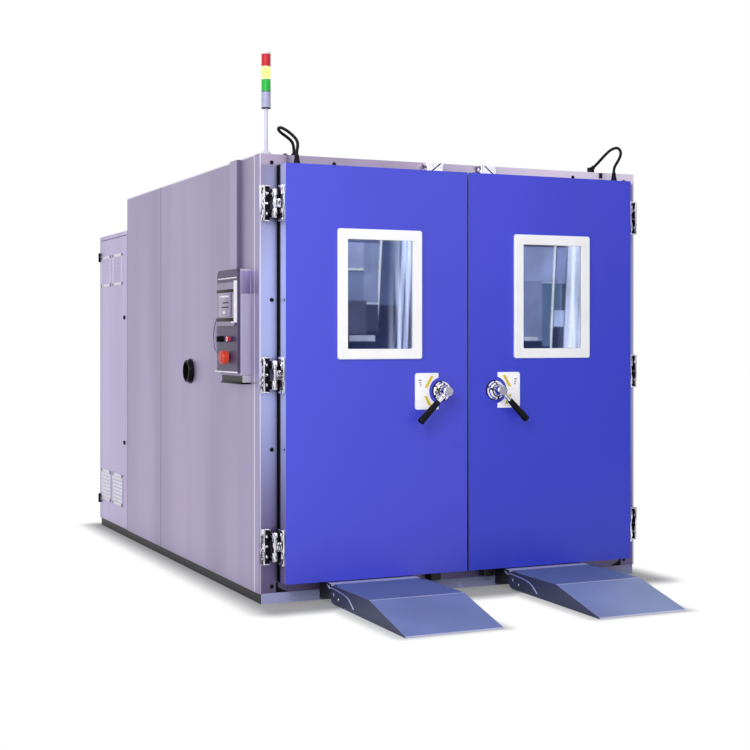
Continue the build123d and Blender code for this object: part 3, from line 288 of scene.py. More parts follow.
def steel_sheet(name, colour, roughness=0.36, fold_highlights=(), seams=(), painted_light_and_tints=(), painted_side_shade=None, metal=0.82,
                grain=(300.0, 300.0, 3.0)):
    """Brushed stainless sheet: grain, faint bands and waviness, dark seams, and paler lines along folded
    edges that are painted highlights.

    A painted edge highlight or a seam is (axis, place, half its width), with the axis as 0, 1 or 2. A
    band of painted light and shade or of plain tint is (axis, place where it starts, place where it
    is full, colour). The side colour, if given, is painted shade on the x-facing sides.
    """
    recipe = Recipe(name)
    place = recipe.axes()
    brushing = recipe.cloud(1.0, 3, grain)
    bands = recipe.cloud(2.2, 2, (1.0, 1.0, 0.12))
    smear = recipe.cloud(1.1, 3)
    dark = tuple(c * 0.84 for c in colour)
    pale = tuple(min(1.0, c * 1.07) for c in colour)
    shade = recipe.blend(bands.rise(0.3, 0.7), dark, pale)
    shade = recipe.blend(0.10 * brushing, shade, (0.9, 0.9, 0.95))
    # Bands of painted light and shade across or up the sheet, and plain tints.
    for axis, start, full, tint in painted_light_and_tints:
        shade = recipe.blend(place[axis].rise(start, full), shade, tint)
    # Painted highlights along the folded edges.
    for axis, at, half in fold_highlights:
        edge = 1 - abs(place[axis] - at).rise(half * 0.4, half)
        shade = recipe.blend(0.6 * edge, shade, (0.95, 0.93, 1.0))
    # Painted shade on the x-facing sides.
    if painted_side_shade:
        shade = recipe.blend(recipe.sideways(), shade, painted_side_shade)
    height = 0.05 * brushing + smear
    for axis, at, half in seams:
        line = 1 - abs(place[axis] - at).rise(half * 0.5, half)
        shade = recipe.blend(0.75 * line, shade, (0.10, 0.09, 0.13))
        height = height - 0.3 * line
    return recipe.dress({
        "Base Color": shade,
        "Metallic": metal,
        "Roughness": roughness + 0.08 * smear + 0.04 * brushing,
        "Normal": recipe.bump(height, 0.10, 0.01),
    })


STEEL = (0.365, 0.305, 0.49)
# Paler lines at the walls' front corner and top edge are painted highlights.
wall_steel = steel_sheet("wall_steel", STEEL, fold_highlights=((1, -1.16, 0.010), (2, 2.150, 0.008)),
                         seams=((1, 0.460, 0.004), (1, 1.223, 0.004)))
roof_steel = steel_sheet("roof_steel", STEEL, seams=((1, 0.0, 0.003),))
inner_steel = steel_sheet("inner_steel", (0.56, 0.55, 0.62), 0.3)
cover_steel = steel_sheet("cover_steel", (0.40, 0.345, 0.54),
                          seams=((1, -0.850, 0.004), (1, -0.963, 0.004)))
dress(wall_steel, "left_wall", "right_wall", "rear_wall")
dress(cover_steel, "cable_cover")
dress(roof_steel, "roof_panel")
dress(inner_steel, "floor_panel", "air_duct_panel")

# Door frame: folded stainless stiles, head and threshold screwed to the panels. Black plugs close
# the screw holes in its front.
FRAME_FRONT = round(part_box("door_frame")[0][1], 4)
PLUG_HEIGHTS = (2.109, 1.452, 0.736, 0.081)
# The stile front is painted lighter at mid height and darker at its top and foot, the head paler towards the
# right and the sides darker: painted reflection, light and shade. The paler lines at the corners are painted
# highlights.
frame_steel = steel_sheet("frame_steel", (0.44, 0.36, 0.50), 0.33,
                          painted_light_and_tints=((0, -0.5, 0.9, (0.98, 0.86, 1.00)),
                                  (2, 2.11, 2.09, (0.29, 0.28, 0.42)),
                                  (2, 2.08, 1.5, (0.47, 0.51, 0.82)),
                                  (2, 1.1, 0.2, (0.17, 0.14, 0.27))),
                          painted_side_shade=(0.36, 0.31, 0.50), fold_highlights=((0, -1.064, 0.004), (0, 1.064, 0.004)))
dress(frame_steel, "door_frame")


class Shape:
    """A mesh put together from closed parts, each with one of the piece's finishes."""

    def __init__(self):
        self.mesh = bmesh.new()

    def close(self, verts, finish):
        faces = {face for vert in verts for face in vert.link_faces}
        bmesh.ops.recalc_face_normals(self.mesh, faces=list(faces))
        for face in {face for vert in verts if vert.is_valid for face in vert.link_faces}:
            face.material_index = finish

    def block(self, low, high, edge=0.0, finish=0):
        """A box between two corners, with its edges rounded off."""
        made = bmesh.ops.create_cube(self.mesh, size=1.0)["verts"]
        for vert in made:
            vert.co = Vector([low[i] if vert.co[i] < 0 else high[i] for i in range(3)])
        if edge:
            edges = list({line for vert in made for line in vert.link_edges})
            cut = bmesh.ops.bevel(self.mesh, geom=edges, offset=edge, segments=2, affect="EDGES",
                                  profile=0.5)
            made = cut["verts"]
        self.close(made, finish)
        return self

    def plate(self, outline, axis, low, high, edge=0.0, finish=0):
        """A flat outline of (u, v) points, given a thickness along axis 0, 1 or 2."""
        def at(u, v, w):
            return Vector({0: (w, u, v), 1: (u, w, v), 2: (u, v, w)}[axis])
        lower = [self.mesh.verts.new(at(u, v, low)) for u, v in outline]
        upper = [self.mesh.verts.new(at(u, v, high)) for u, v in outline]
        self.mesh.faces.new(lower)
        self.mesh.faces.new(list(reversed(upper)))
        for i in range(len(outline)):
            j = (i + 1) % len(outline)
            self.mesh.faces.new((lower[j], lower[i], upper[i], upper[j]))
        made = lower + upper
        bmesh.ops.recalc_face_normals(self.mesh, faces=list({f for v in made for f in v.link_faces}))
        if edge:
            edges = list({line for vert in made for line in vert.link_edges
                          if line.calc_face_angle(0) > 0.6})
            cut = bmesh.ops.bevel(self.mesh, geom=edges, offset=edge, segments=2, affect="EDGES",
                                  profile=0.5, clamp_overlap=True)
            made = list({v for f in cut["faces"] for v in f.verts} | {v for v in made if v.is_valid})
        self.close(made, finish)
        return self

    def turned(self, start, end, profile, sides=32, finish=0):
        """A turned part. profile is (share of the way from start to end, radius), from axis to axis."""
        start, end = Vector(start), Vector(end)
        along = (end - start).normalized()
        across = along.orthogonal().normalized()
        other = along.cross(across)
        rings = []
        for share, radius in profile:
            centre = start.lerp(end, share)
            if radius == 0:
                rings.append([self.mesh.verts.new(centre)])
                continue
            angles = [2 * math.pi * (k + 0.5) / sides for k in range(sides)]
            rings.append([self.mesh.verts.new(centre + radius * (across * math.cos(a) + other * math.sin(a)))
                          for a in angles])
        for ring, following in zip(rings, rings[1:]):
            for k in range(sides):
                n = (k + 1) % sides
                if len(ring) == 1:
                    self.mesh.faces.new((ring[0], following[n], following[k]))
                elif len(following) == 1:
                    self.mesh.faces.new((ring[k], ring[n], following[0]))
                else:
                    self.mesh.faces.new((ring[k], ring[n], following[n], following[k]))
        for ring in (rings[0], rings[-1]):
            if len(ring) > 1:
                self.mesh.faces.new(ring)
        self.close([vert for ring in rings for vert in ring], finish)
        return self

    def done(self, name, body, slot, finishes, sharp=35):
        piece = finish_mesh(self.mesh, name, finishes, sharp)
        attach(piece, body)
        return piece


class Pattern:
    """A Geometry Nodes tree in the making, with named inputs for its sizes."""

    def __init__(self, name):
        self.tree = bpy.data.node_groups.new(name, "GeometryNodeTree")
        self.tree.interface.new_socket("Geometry", in_out="INPUT", socket_type="NodeSocketGeometry")
        self.tree.interface.new_socket("Geometry", in_out="OUTPUT", socket_type="NodeSocketGeometry")
        self.entry = self.tree.nodes.new("NodeGroupInput")
        self.exit = self.tree.nodes.new("NodeGroupOutput")

    def size(self, name, kind="Float"):
        self.tree.interface.new_socket(name, in_out="INPUT", socket_type="NodeSocket" + kind)
        return self.entry.outputs[name]

    def node(self, kind, settings=None, sockets=None, out=0):
        made = self.tree.nodes.new(kind)
        for key, value in (settings or {}).items():
            setattr(made, key, value)
        for key, value in (sockets or {}).items():
            if isinstance(value, bpy.types.NodeSocket):
                self.tree.links.new(value, made.inputs[key])
            else:
                made.inputs[key].default_value = value
        return made.outputs[out]

    def end(self, instances):
        finish = self.size("Finish", "Material")
        real = self.node("GeometryNodeRealizeInstances", None, {0: instances})
        painted = self.node("GeometryNodeSetMaterial", None, {"Geometry": real, "Material": finish})
        self.tree.links.new(painted, self.exit.inputs[0])

    def make(self, name, points, body, slot, values):
        """Runs the tree on a mesh of points and leaves a plain mesh that rides on the body."""
        data = bpy.data.meshes.new(name)
        data.from_pydata(points, [], [])
        holder = bpy.data.objects.new(name + "_points", data)
        scene.collection.objects.link(holder)
        modifier = holder.modifiers.new("pattern", "NODES")
        modifier.node_group = self.tree
        for item in self.tree.interface.items_tree:
            if item.in_out == "INPUT" and item.name in values:
                modifier[item.identifier] = values[item.name]
        bpy.context.view_layer.update()
        graph = bpy.context.evaluated_depsgraph_get()
        plain = bpy.data.meshes.new_from_object(holder.evaluated_get(graph))
        plain.name = name
        bpy.data.objects.remove(holder)
        piece = bpy.data.objects.new(name, plain)
        scene.collection.objects.link(piece)
        plain.shade_smooth()
        plain.set_sharp_from_angle(angle=math.radians(35))
        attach(piece, body)
        return piece


def button_pattern(name):
    """A low round head on each point: a disc with a smaller, domed step on it."""
    pattern = Pattern(name)
    radius = pattern.size("Radius")
    height = pattern.size("Height")
    facing = pattern.size("Facing", "Rotation")
    sides, step, shoulder = 20, 0.82, 0.7
    disc = pattern.node("GeometryNodeMeshCone", {"fill_type": "NGON"},
                        {"Vertices": sides, "Radius Top": step, "Radius Bottom": 1.0,
                         "Depth": shoulder}, "Mesh")
    crown = pattern.node("GeometryNodeMeshCone", {"fill_type": "NGON"},
                         {"Vertices": sides, "Radius Top": 0.3, "Radius Bottom": step,
                          "Depth": 0.3}, "Mesh")
    raised = pattern.node("GeometryNodeTransform", None,
                          {"Geometry": crown, "Translation": (0, 0, shoulder)})
    head = pattern.node("GeometryNodeJoinGeometry", None, {0: disc})
    pattern.tree.links.new(raised, head.node.inputs[0])
    scale = pattern.node("ShaderNodeCombineXYZ", None, {0: radius, 1: radius, 2: height})
    placed = pattern.node("GeometryNodeInstanceOnPoints", None,
                          {"Points": pattern.entry.outputs["Geometry"], "Instance": head,
                           "Rotation": facing, "Scale": scale})
    pattern.end(placed)
    return pattern


TOWARDS_FRONT = (math.radians(90), 0, 0)
TOWARDS_LEFT = (0, math.radians(-90), 0)
black_plastic = rubber("black_plastic", (0.003, 0.003, 0.004), 0.42)
buttons = button_pattern("round_heads")
STILE_PLUGS = [(x, FRAME_FRONT, z) for x in (-1.006, 1.006) for z in PLUG_HEIGHTS]
HEAD_PLUGS = [(x, FRAME_FRONT, 2.117) for x in (-0.682, 0.685)]
buttons.make("frame_plugs", STILE_PLUGS + HEAD_PLUGS, "root", "black_plastic",
             {"Radius": 0.0105, "Height": 0.003, "Facing": TOWARDS_FRONT, "Finish": black_plastic})

# Black parts on the frame and the roof: a switch block on the head, a grommet, a black line over the
# sill that stands for the doors' bottom seal and, as painted shade, for the shade under the doors, and
# a wedge at the foot of each stile.
ROOF = round(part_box("door_frame")[1][2], 4)
STILE_WEDGE = ((0.985, 0.099), (0.976, 0.099), (0.972, 0.075), (0.940, 0.060), (0.920, 0.052),
               (0.985, 0.052))
frame_bits = Shape()
frame_bits.block((0.848, FRAME_FRONT - 0.006, 2.120), (0.865, FRAME_FRONT, 2.147), 0.001)
frame_bits.turned((-0.920, -1.180, ROOF - 0.0005), (-0.920, -1.180, ROOF + 0.013),
                  ((0, 0), (0, 0.013), (0.4, 0.013), (0.9, 0.007), (1, 0)), 24)
frame_bits.block((-0.978, FRAME_FRONT - 0.0012, 0.098), (0.978, FRAME_FRONT, 0.1025), 0.0003)
for way in (-1, 1):
    wedge = [(way * x, z) for x, z in STILE_WEDGE]
    frame_bits.plate(wedge, 1, FRAME_FRONT - 0.0018, FRAME_FRONT, 0)
frame_bits.done("frame_bits", "root", "black_plastic", [black_plastic])

# Door leaves: an insulated leaf with a stainless inner tray and a blue powder-coated face sheet,
# two small screws in its hinge edge, and a black silicone seal all round. The rubber round its edge
# leaves the bolts free, between bolt_in and bolt_out.
DOOR_EDGE = round(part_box("right_door_skin")[1][0], 4)


def powder_coat(name, colour, veil, low):
    """Powder coat: fine orange peel, soft clouding and a thin hazy gloss. Lower down it turns to the low
    colour, which is painted shade where it is darker.
    """
    recipe = Recipe(name)
    peel = recipe.cloud(700, 2)
    clouding = recipe.cloud(1.4, 3, (1.0, 1.0, 0.6))
    deep = tuple(c * 0.93 for c in colour)
    shade = recipe.blend(clouding.rise(0.3, 0.7), deep, colour)
    return recipe.dress({
        "Base Color": recipe.blend(recipe.axes()[2].rise(0.1, 1.9), low, shade),
        "Roughness": 0.38 + 0.10 * clouding,
        "Coat Weight": veil + 0.1 * clouding,
        "Coat Roughness": 0.22,
        "Normal": recipe.bump(peel + 3 * clouding, 0.10, 0.0006),
    })


# Each door's copy turns to its low colour towards the bottom; the right door's copy is darker, and darker
# again lower down: painted light and shade.
door_blues = {"left": powder_coat("left_door_blue", (0.058, 0.070, 0.700), 0.1, (0.058, 0.070, 0.72)),
              "right": powder_coat("right_door_blue", (0.050, 0.060, 0.700), 0.1, (0.030, 0.052, 0.66))}
# The door edges are painted paler from the foot up to about a metre: painted light.
leaf_steel = steel_sheet("leaf_steel", (0.33, 0.29, 0.58), 0.33,
                         painted_light_and_tints=((2, 0.2, 1.0, (0.58, 0.62, 0.83)),))
seal_rubber = rubber("seal_rubber", (0.004, 0.004, 0.005), 0.6)
BOOT_PROFILE = ((0, 0), (0, 0.0165), (0.18, 0.0165), (0.3, 0.0140), (0.9, 0.0105), (1, 0.0095), (1, 0))
for side, way in SIDES:
    dress(door_blues[side], side + "_door_skin")
    dress(leaf_steel, side + "_door_body")
    dress(seal_rubber, side + "_door_gasket")
    free, low, high = 0.006, 0.1045, 2.0985
    bolt_in, bolt_out, proud = 0.136, 0.168, 0.0015
    band = Shape()
    for x0, x1, z0, z1 in ((DOOR_EDGE, DOOR_EDGE + proud, low, high), (free - proud, free, low, high),
                           (free, bolt_in, low - proud, low), (bolt_out, DOOR_EDGE, low - proud, low),
                           (free, bolt_in, high, high + proud), (bolt_out, DOOR_EDGE, high, high + proud)):
        x0, x1 = sorted((way * x0, way * x1))
        band.block((x0, -1.260, z0), (x1, -1.2475, z1), 0.0004)
    band.turned((way * 0.901, -1.285, 2.099), (way * 0.901, -1.285, 2.146), BOOT_PROFILE, 24)
    band.done(side + "_leaf_rubber", side + "_door", "seal_rubber", [seal_rubber])
    # A black strip on the frame beside each door is painted shade for the gap between door and frame.
    x0, x1 = sorted((way * 0.968, way * 0.981))
    gap_shade_strip = Shape().block((x0, FRAME_FRONT - 0.0025, low), (x1, FRAME_FRONT, high), 0.0006)
    gap_shade_strip.done(side + "_stile_gap_shade", "root", "seal_rubber", [seal_rubber])
    facing = TOWARDS_LEFT if way < 0 else (0, math.radians(90), 0)
    screws = [(way * DOOR_EDGE, -1.314, z) for z in (1.450, 0.741)]
    buttons.make(side + "_edge_screws", screws, side + "_door", "turned_steel",
                 {"Radius": 0.0065, "Height": 0.002, "Facing": facing, "Finish": black_plastic})

# Windows: a white enamelled frame screwed over a polished steel lining, with three panes of heated
# glass. The outer pane has a thin metal coating, so it reflects like a mirror.


def enamel(name, colour, lining_from=None, painted_glow=0.0):
    """White enamel with a faint ripple, which gives off a little light of its own: painted light. Behind
    lining_from, in y, it is polished steel with pale streaks that are painted reflections.
    """
    recipe = Recipe(name)
    ripple = recipe.cloud(60, 2)
    grey = tuple(c * 0.95 for c in colour)
    shade = recipe.blend(recipe.cloud(9, 2).rise(0.4, 0.7), colour, grey)
    sockets = {"Base Color": shade, "Roughness": 0.30 + 0.06 * ripple, "Emission Color": shade,
               "Normal": recipe.bump(ripple, 0.05, 0.001)}
    recipe.shader.inputs["Emission Strength"].default_value = painted_glow
    if lining_from is not None:
        inside = recipe.axes()[1] > lining_from
        # Pale streaks on the polished lining: painted reflections.
        streaks = recipe.cloud(1.0, 2, (45.0, 45.0, 2.5))
        metal = recipe.blend(streaks.rise(0.35, 0.65), (0.28, 0.36, 0.66), (0.9, 0.92, 1.0))
        sockets["Base Color"] = recipe.blend(inside, shade, metal)
        sockets["Metallic"] = 0.9 * inside
        sockets["Roughness"] = 0.30 - 0.14 * inside + 0.04 * ripple
        sockets["Normal"] = recipe.bump(ripple * 0.05 + inside * streaks, 0.4, 0.004)
    return recipe.dress(sockets)


def coated_glass(name, colour, outer_y):
    """Glass whose outer pane carries a thin mirror coating. The panes behind it are clear."""
    recipe = Recipe(name)
    coated = recipe.axes()[1] < outer_y
    film = recipe.cloud(3, 2)
    return recipe.dress({
        "Base Color": recipe.blend(film.rise(0.3, 0.7), tuple(c * 0.94 for c in colour), colour),
        "Metallic": coated,
        "Roughness": 0.012 + 0.01 * film,
        "Alpha": 0.04 + 0.30 * coated,
    })


# The window frames give off a little light of their own: painted light.
white_enamel = enamel("white_enamel", (0.97, 0.97, 0.96), lining_from=-1.336, painted_glow=0.10)
window_glass = coated_glass("window_glass", (0.72, 0.80, 1.0), -1.325)
for side, _ in SIDES:
    dress(white_enamel, side + "_window_frame")
    dress(window_glass, side + "_window_glass")

# Hinges: chrome-plated cast lift-off hinges. Each has a bracket on the stile, a leaf on the door edge
# and a round pin between them. Black blocks fill the wells of the castings around the screws: painted
# shade for the dark of the wells.


def chrome(name, colour, roughness=0.08):
    """Polished chrome plate over a casting: slow waviness, fine pits and soft wear, and dark bands by
    facing that are painted reflections.
    """
    recipe = Recipe(name)
    wave = recipe.cloud(38, 2)
    pits = recipe.cloud(420, 2)
    worn = recipe.cloud(14, 3).rise(0.45, 0.75)
    dull = tuple(c * 0.82 for c in colour)
    shade = recipe.blend(worn, colour, dull)
    return recipe.dress({
        "Base Color": recipe.blend(recipe.painted_reflection_bands(wave), shade, (0.03, 0.03, 0.05)),
        "Metallic": 1.0,
        "Roughness": roughness + 0.10 * worn + 0.03 * pits,
        "Normal": recipe.bump(wave + 0.1 * pits, 0.12, 0.004),
    })


bright_chrome = chrome("bright_chrome", (0.88, 0.87, 0.93))
HINGE_X, HINGE_Y, HINGE_HEIGHTS = 1.008, -1.275, (0.276, 1.0935, 1.911)
CHROME, PAINTED_WELL_SHADE = 0, 1
SCREW_PROFILE = ((0, 0), (0, 0.009), (0.5, 0.009), (0.9, 0.006), (1, 0))
END_BARREL = ((0, 0), (0, 0.0115), (0.04, 0.012), (0.84, 0.012), (0.95, 0.009), (1, 0))
MIDDLE_BARREL = ((0, 0), (0, 0.0112), (0.06, 0.0118), (0.94, 0.0118), (1, 0.0112), (1, 0))


def hinge_block(shape, way, z, u, y, v, edge, finish):
    """A block of one hinge. u runs from the pin towards the door, v up from the hinge's middle."""
    x0, x1 = sorted(way * (HINGE_X - across) for across in u)
    shape.block((x0, y[0], z + v[0]), (x1, y[1], z + v[1]), edge, finish)


brackets = Shape()
for side, way in SIDES:
    leaves = Shape()
    for z in HINGE_HEIGHTS:
        hinge_block(brackets, way, z, (-0.056, -0.044), (-1.262, -1.225), (-0.087, 0.087), 0.003, CHROME)
        hinge_block(brackets, way, z, (-0.046, -0.013), (-1.240, -1.225), (-0.085, 0.085), 0.001, PAINTED_WELL_SHADE)
        hinge_block(brackets, way, z, (-0.040, -0.020), (-1.246, -1.239), (-0.006, 0.006), 0.002, CHROME)
        for end in (-1, 1):
            rail = sorted((end * 0.079, end * 0.087))
            arm = sorted((end * 0.028, end * 0.068))
            hinge_block(brackets, way, z, (-0.046, -0.014), (-1.256, -1.226), rail, 0.003, CHROME)
            hinge_block(brackets, way, z, (-0.016, -0.004), (-1.281, -1.238), arm, 0.003, CHROME)
            screw_x = way * (HINGE_X + 0.030)
            screw_z = z + end * 0.048
            brackets.turned((screw_x, -1.239, screw_z), (screw_x, -1.247, screw_z), SCREW_PROFILE, 20,
                            CHROME)
            brackets.turned((way * HINGE_X, HINGE_Y, z + end * 0.026),
                            (way * HINGE_X, HINGE_Y, z + end * 0.072), END_BARREL, 28, CHROME)
        hinge_block(leaves, way, z, (0.019, 0.033), (-1.325, -1.262), (-0.087, 0.087), 0.004, CHROME)
        hinge_block(leaves, way, z, (0.013, 0.024), (-1.270, -1.256), (-0.080, 0.080), 0.001, PAINTED_WELL_SHADE)
        hinge_block(leaves, way, z, (0.002, 0.022), (-1.284, -1.268), (-0.022, 0.022), 0.003, CHROME)
        leaves.turned((way * HINGE_X, HINGE_Y, z - 0.0245), (way * HINGE_X, HINGE_Y, z + 0.0245),
                      MIDDLE_BARREL, 28, CHROME)
    leaves = leaves.done(side + "_hinge_castings", side + "_door", "bright_chrome",
                         [bright_chrome, black_plastic])
    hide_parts(side + "_hinge_leaves")
brackets = brackets.done("hinge_castings", "root", "bright_chrome", [bright_chrome, black_plastic])
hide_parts("hinge_brackets")

# Bolt keepers: chrome-plated castings over the doors and black housings under them. The bolts of the
# doors slide into them when the levers are turned.


def keeper_chrome(name):
    """Chrome above with bands of painted reflection, black housings below, and a dark bolt slot across
    each, painted black for the shade in it.
    """
    recipe = Recipe(name)
    x, _, z = recipe.axes()
    wave = recipe.cloud(38, 2)
    # The bolt slot is a painted dark line: painted shade.
    slant = abs((abs(x) - 0.152) * 0.8 + (z - 2.122)) < 0.004
    black = (z < 1.0).rise(0.0, 1.0)
    shade = recipe.blend(recipe.painted_reflection_bands(wave), (0.88, 0.87, 0.93), (0.03, 0.03, 0.05))
    shade = recipe.blend(slant, shade, (0.01, 0.01, 0.012))
    return recipe.dress({
        "Base Color": recipe.blend(black, shade, (0.008, 0.008, 0.010)),
        "Metallic": 1.0 - black,
        "Roughness": 0.10 + 0.3 * black + 0.04 * wave,
        "Normal": recipe.bump(wave, 0.12, 0.004),
    })


dress(keeper_chrome("keeper_chrome"), "bolt_keepers")

# Door levers: a chrome lever on a turned boss, with a tapered black grip. The white plate beside it
# has a notch for the boss and two yellow marks for the lever's two positions.
DOOR_FRONT = round(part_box("left_door_skin")[0][1], 4)
turned_steel = chrome("turned_steel", (0.62, 0.60, 0.62), 0.22)
# The lever plate gives off a little light of its own: painted light.
plate_white = enamel("plate_white", (0.96, 0.96, 0.97), painted_glow=0.15)
mark_yellow = enamel("mark_yellow", (0.90, 0.62, 0.02))
LOCK_X, LOCK_Z = 0.152, 1.007
WHITE_PLATE, YELLOW, BLACK_PART, CHROME_PART = range(4)
NOTCH_RADIUS, NOTCH_HALF_ANGLE, NOTCH_STEPS = 0.068, 76, 20
LEVER_MARKS = (((0.196, 1.083), (0.230, 1.024)), ((0.232, 0.984), (0.208, 0.936)))
MARK_WIDTH = 0.016
# A black ring round the foot of the boss and one at the step of its neck are painted shade for the gap and
# the groove there.
GAP_SHADE_RING = ((0, 0), (0, 0.0499), (1, 0.0499), (1, 0))
BOSS = ((0, 0), (0, 0.0475), (0.16, 0.0475), (0.24, 0.042), (0.46, 0.0385), (0.54, 0.031),
        (0.66, 0.031), (0.67, 0.029), (1, 0.029), (1, 0))
GROOVE_SHADE_RING = ((0, 0), (0, 0.0312), (1, 0.0312), (1, 0))


def rounded(x, z, radius, start, steps=5):
    """Points of a quarter round about (x, z), from a start angle in degrees, clockwise."""
    angles = [math.radians(start - 90 * k / steps) for k in range(steps + 1)]
    return [(x + radius * math.cos(a), z + radius * math.sin(a)) for a in angles]


for side, way in SIDES:
    dress(bright_chrome, side + "_handle_lever")
    dress(black_plastic, side + "_handle_grip")
    dress(turned_steel, side + "_lock_spindle", side + "_upper_bolt", side + "_lower_bolt")
    angles = [math.radians(NOTCH_HALF_ANGLE * (2 * k / NOTCH_STEPS - 1)) for k in range(NOTCH_STEPS + 1)]
    notch = [(LOCK_X + NOTCH_RADIUS * math.cos(a), LOCK_Z + NOTCH_RADIUS * math.sin(a)) for a in angles]
    outline = [(0.1685, 1.097), *rounded(0.285, 1.085, 0.012, 90), *rounded(0.285, 0.929, 0.012, 0),
               (0.1675, 0.917), *notch]
    plate = Shape()
    plate.plate([(way * x, z) for x, z in outline], 1, DOOR_FRONT - 0.004, DOOR_FRONT, 0.0008, WHITE_PLATE)
    for start, end in LEVER_MARKS:
        bar = [start, (start[0] + MARK_WIDTH, start[1]), (end[0] + MARK_WIDTH, end[1]), end]
        plate.plate([(way * x, z) for x, z in bar], 1, -1.3376, -1.3368, 0, YELLOW)
    for k in range(3):
        z = 1.060 - 0.012 * k
        x0, x1 = sorted((way * 0.262, way * (0.280 - 0.004 * k)))
        plate.block((x0, -1.3375, z), (x1, -1.3369, z + 0.004), 0, BLACK_PART)
    for y0, y1, profile, finish in ((-1.3332, -1.3375, GAP_SHADE_RING, BLACK_PART),
                                    (-1.3375, -1.379, BOSS, CHROME_PART),
                                    (-1.3645, -1.3675, GROOVE_SHADE_RING, BLACK_PART)):
        plate.turned((way * LOCK_X, y0, LOCK_Z), (way * LOCK_X, y1, LOCK_Z), profile, 56, finish)
    plate = plate.done(side + "_lever_plate", side + "_door", "bright_chrome",
                       [plate_white, mark_yellow, black_plastic, bright_chrome])
    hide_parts(side + "_handle_base")

# Base frame: steel channel sections, welded together under the cabinet and the machine compartment
# and brushed over with machine paint.


def frame_coat(name, colour, gloss=0.45, painted_side_shade=None):
    """Brushed-on machine paint over steel, with scuffs. The side colour, if given, is painted shade on
    the x-facing sides.
    """
    recipe = Recipe(name)
    texture = recipe.cloud(160, 3)
    scuffs = recipe.cloud(22, 4).rise(0.55, 0.7)
    pale = tuple(min(1.0, c * 1.5 + 0.02) for c in colour)
    shade = recipe.blend(0.5 * scuffs, colour, pale)
    if painted_side_shade:
        shade = recipe.blend(recipe.sideways(), shade, painted_side_shade)
    return recipe.dress({
        "Base Color": shade,
        "Roughness": gloss + 0.12 * texture,
        "Normal": recipe.bump(texture, 0.2, 0.0008),
    })


# The base frame's x-facing sides are painted black: painted shade.
frame_paint = frame_coat("frame_paint", (0.44, 0.46, 0.74), painted_side_shade=(0.006, 0.006, 0.008))
dress(frame_paint, "base_frame")

# Trolley ramps: steel sheet bent into a slope with a cheek plate on each side, hinged on studs at the
# base frame. One cheek of each has a bead and two bolt heads; the bead is painted pale, a painted
# highlight. The cheek plates are painted dark and the shelf by the door darker than the slope:
# painted shade. Paler lines along the bends are painted highlights.
ramp_steel = steel_sheet("ramp_steel", (0.205, 0.275, 0.53), 0.42, grain=(260.0, 6.0, 260.0),
                         painted_side_shade=(0.040, 0.046, 0.11), painted_light_and_tints=((1, -1.84, -1.80, (0.145, 0.20, 0.37)),),
                         fold_highlights=((1, -1.825, 0.005), (1, -2.200, 0.014), (1, -1.372, 0.008)), metal=0.3)
dress(ramp_steel, "left_ramp", "right_ramp")
CHEEK_BEAD = ((-1.380, 0.084), (-1.440, 0.082), (-1.540, 0.076), (-1.602, 0.062), (-1.650, 0.024))
# The bead is painted pale: a painted highlight on its own shape.
bead_highlight_steel = steel_sheet("bead_highlight_steel", (0.55, 0.60, 0.86), 0.3)
for side, x in (("left", -0.7635), ("right", 0.2105)):
    line = centreline(side + "_bead", [(x, y, z) for y, z in CHEEK_BEAD])
    bead = finish_mesh(tube_along(line, 0.004, 10), side + "_ramp_bead", [bead_highlight_steel])
    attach(bead, side + "_ramp")
    heads = [(x - 0.0015, y, z) for y, z in ((-1.415, 0.054), (-1.470, 0.040))]
    buttons.make(side + "_ramp_bolts", heads, side + "_ramp", "turned_steel",
                 {"Radius": 0.008, "Height": 0.004, "Facing": TOWARDS_LEFT, "Finish": turned_steel})

# Cable port and control box: a black plastic tube through the left wall, and a folded steel box on
# it, with a moulded fascia, a screen and its switches. A thin conduit leaves the box.
dress(black_plastic, "cable_port", "roof_glands", "power_switch")
# A paler line along the box's front fold is a painted highlight. The box is black below z 1.085, along its
# foot.
box_steel = steel_sheet("box_steel", (0.24, 0.205, 0.37), fold_highlights=((1, -1.103, 0.003),),
                        painted_light_and_tints=((2, 1.086, 1.084, (0.006, 0.006, 0.008)),))
dress(box_steel, "control_box")


def moulding(name, colour, gloss=0.35, coat=0.0, face=None, foot=None):
    """Moulded plastic: a fine spark-eroded texture and slight clouding in the colour.

    face is (x, colour) of what lies left of x, and foot is (z, colour) of what lies below z.
    """
    recipe = Recipe(name)
    texture = recipe.cloud(1200, 2)
    clouding = recipe.cloud(24, 3)
    deep = tuple(c * 0.88 for c in colour)
    shade = recipe.blend(clouding.rise(0.35, 0.7), deep, colour)
    place = recipe.axes()
    if face:
        shade = recipe.blend(place[0] < face[0], shade, face[1])
    if foot:
        shade = recipe.blend(place[2] < foot[0], shade, foot[1])
    return recipe.dress({
        "Base Color": shade,
        "Roughness": gloss + 0.08 * texture,
        "Coat Weight": coat * clouding.rise(0.0, 0.2),
        "Normal": recipe.bump(texture, 0.12, 0.0003),
    })


slate_panel = moulding("slate_panel", (0.052, 0.036, 0.10), 0.4,
                       face=(-1.1495, (0.55, 0.010, 0.012)))
screen_glass = moulding("screen_glass", (0.20, 0.155, 0.28), 0.15)
red_plastic = moulding("red_plastic", (0.80, 0.06, 0.02), 0.28,
                       face=(-1.180, (0.42, 0.012, 0.012)))
dress(slate_panel, "control_fascia")
dress(screen_glass, "touch_screen")
dress(red_plastic, "emergency_stop")
screen_pale = moulding("screen_pale", (0.29, 0.235, 0.38), 0.15)
trim_white = moulding("trim_white", (0.85, 0.85, 0.90), 0.3)
DARK, PALE, WHITE, SHEET, RED = range(5)
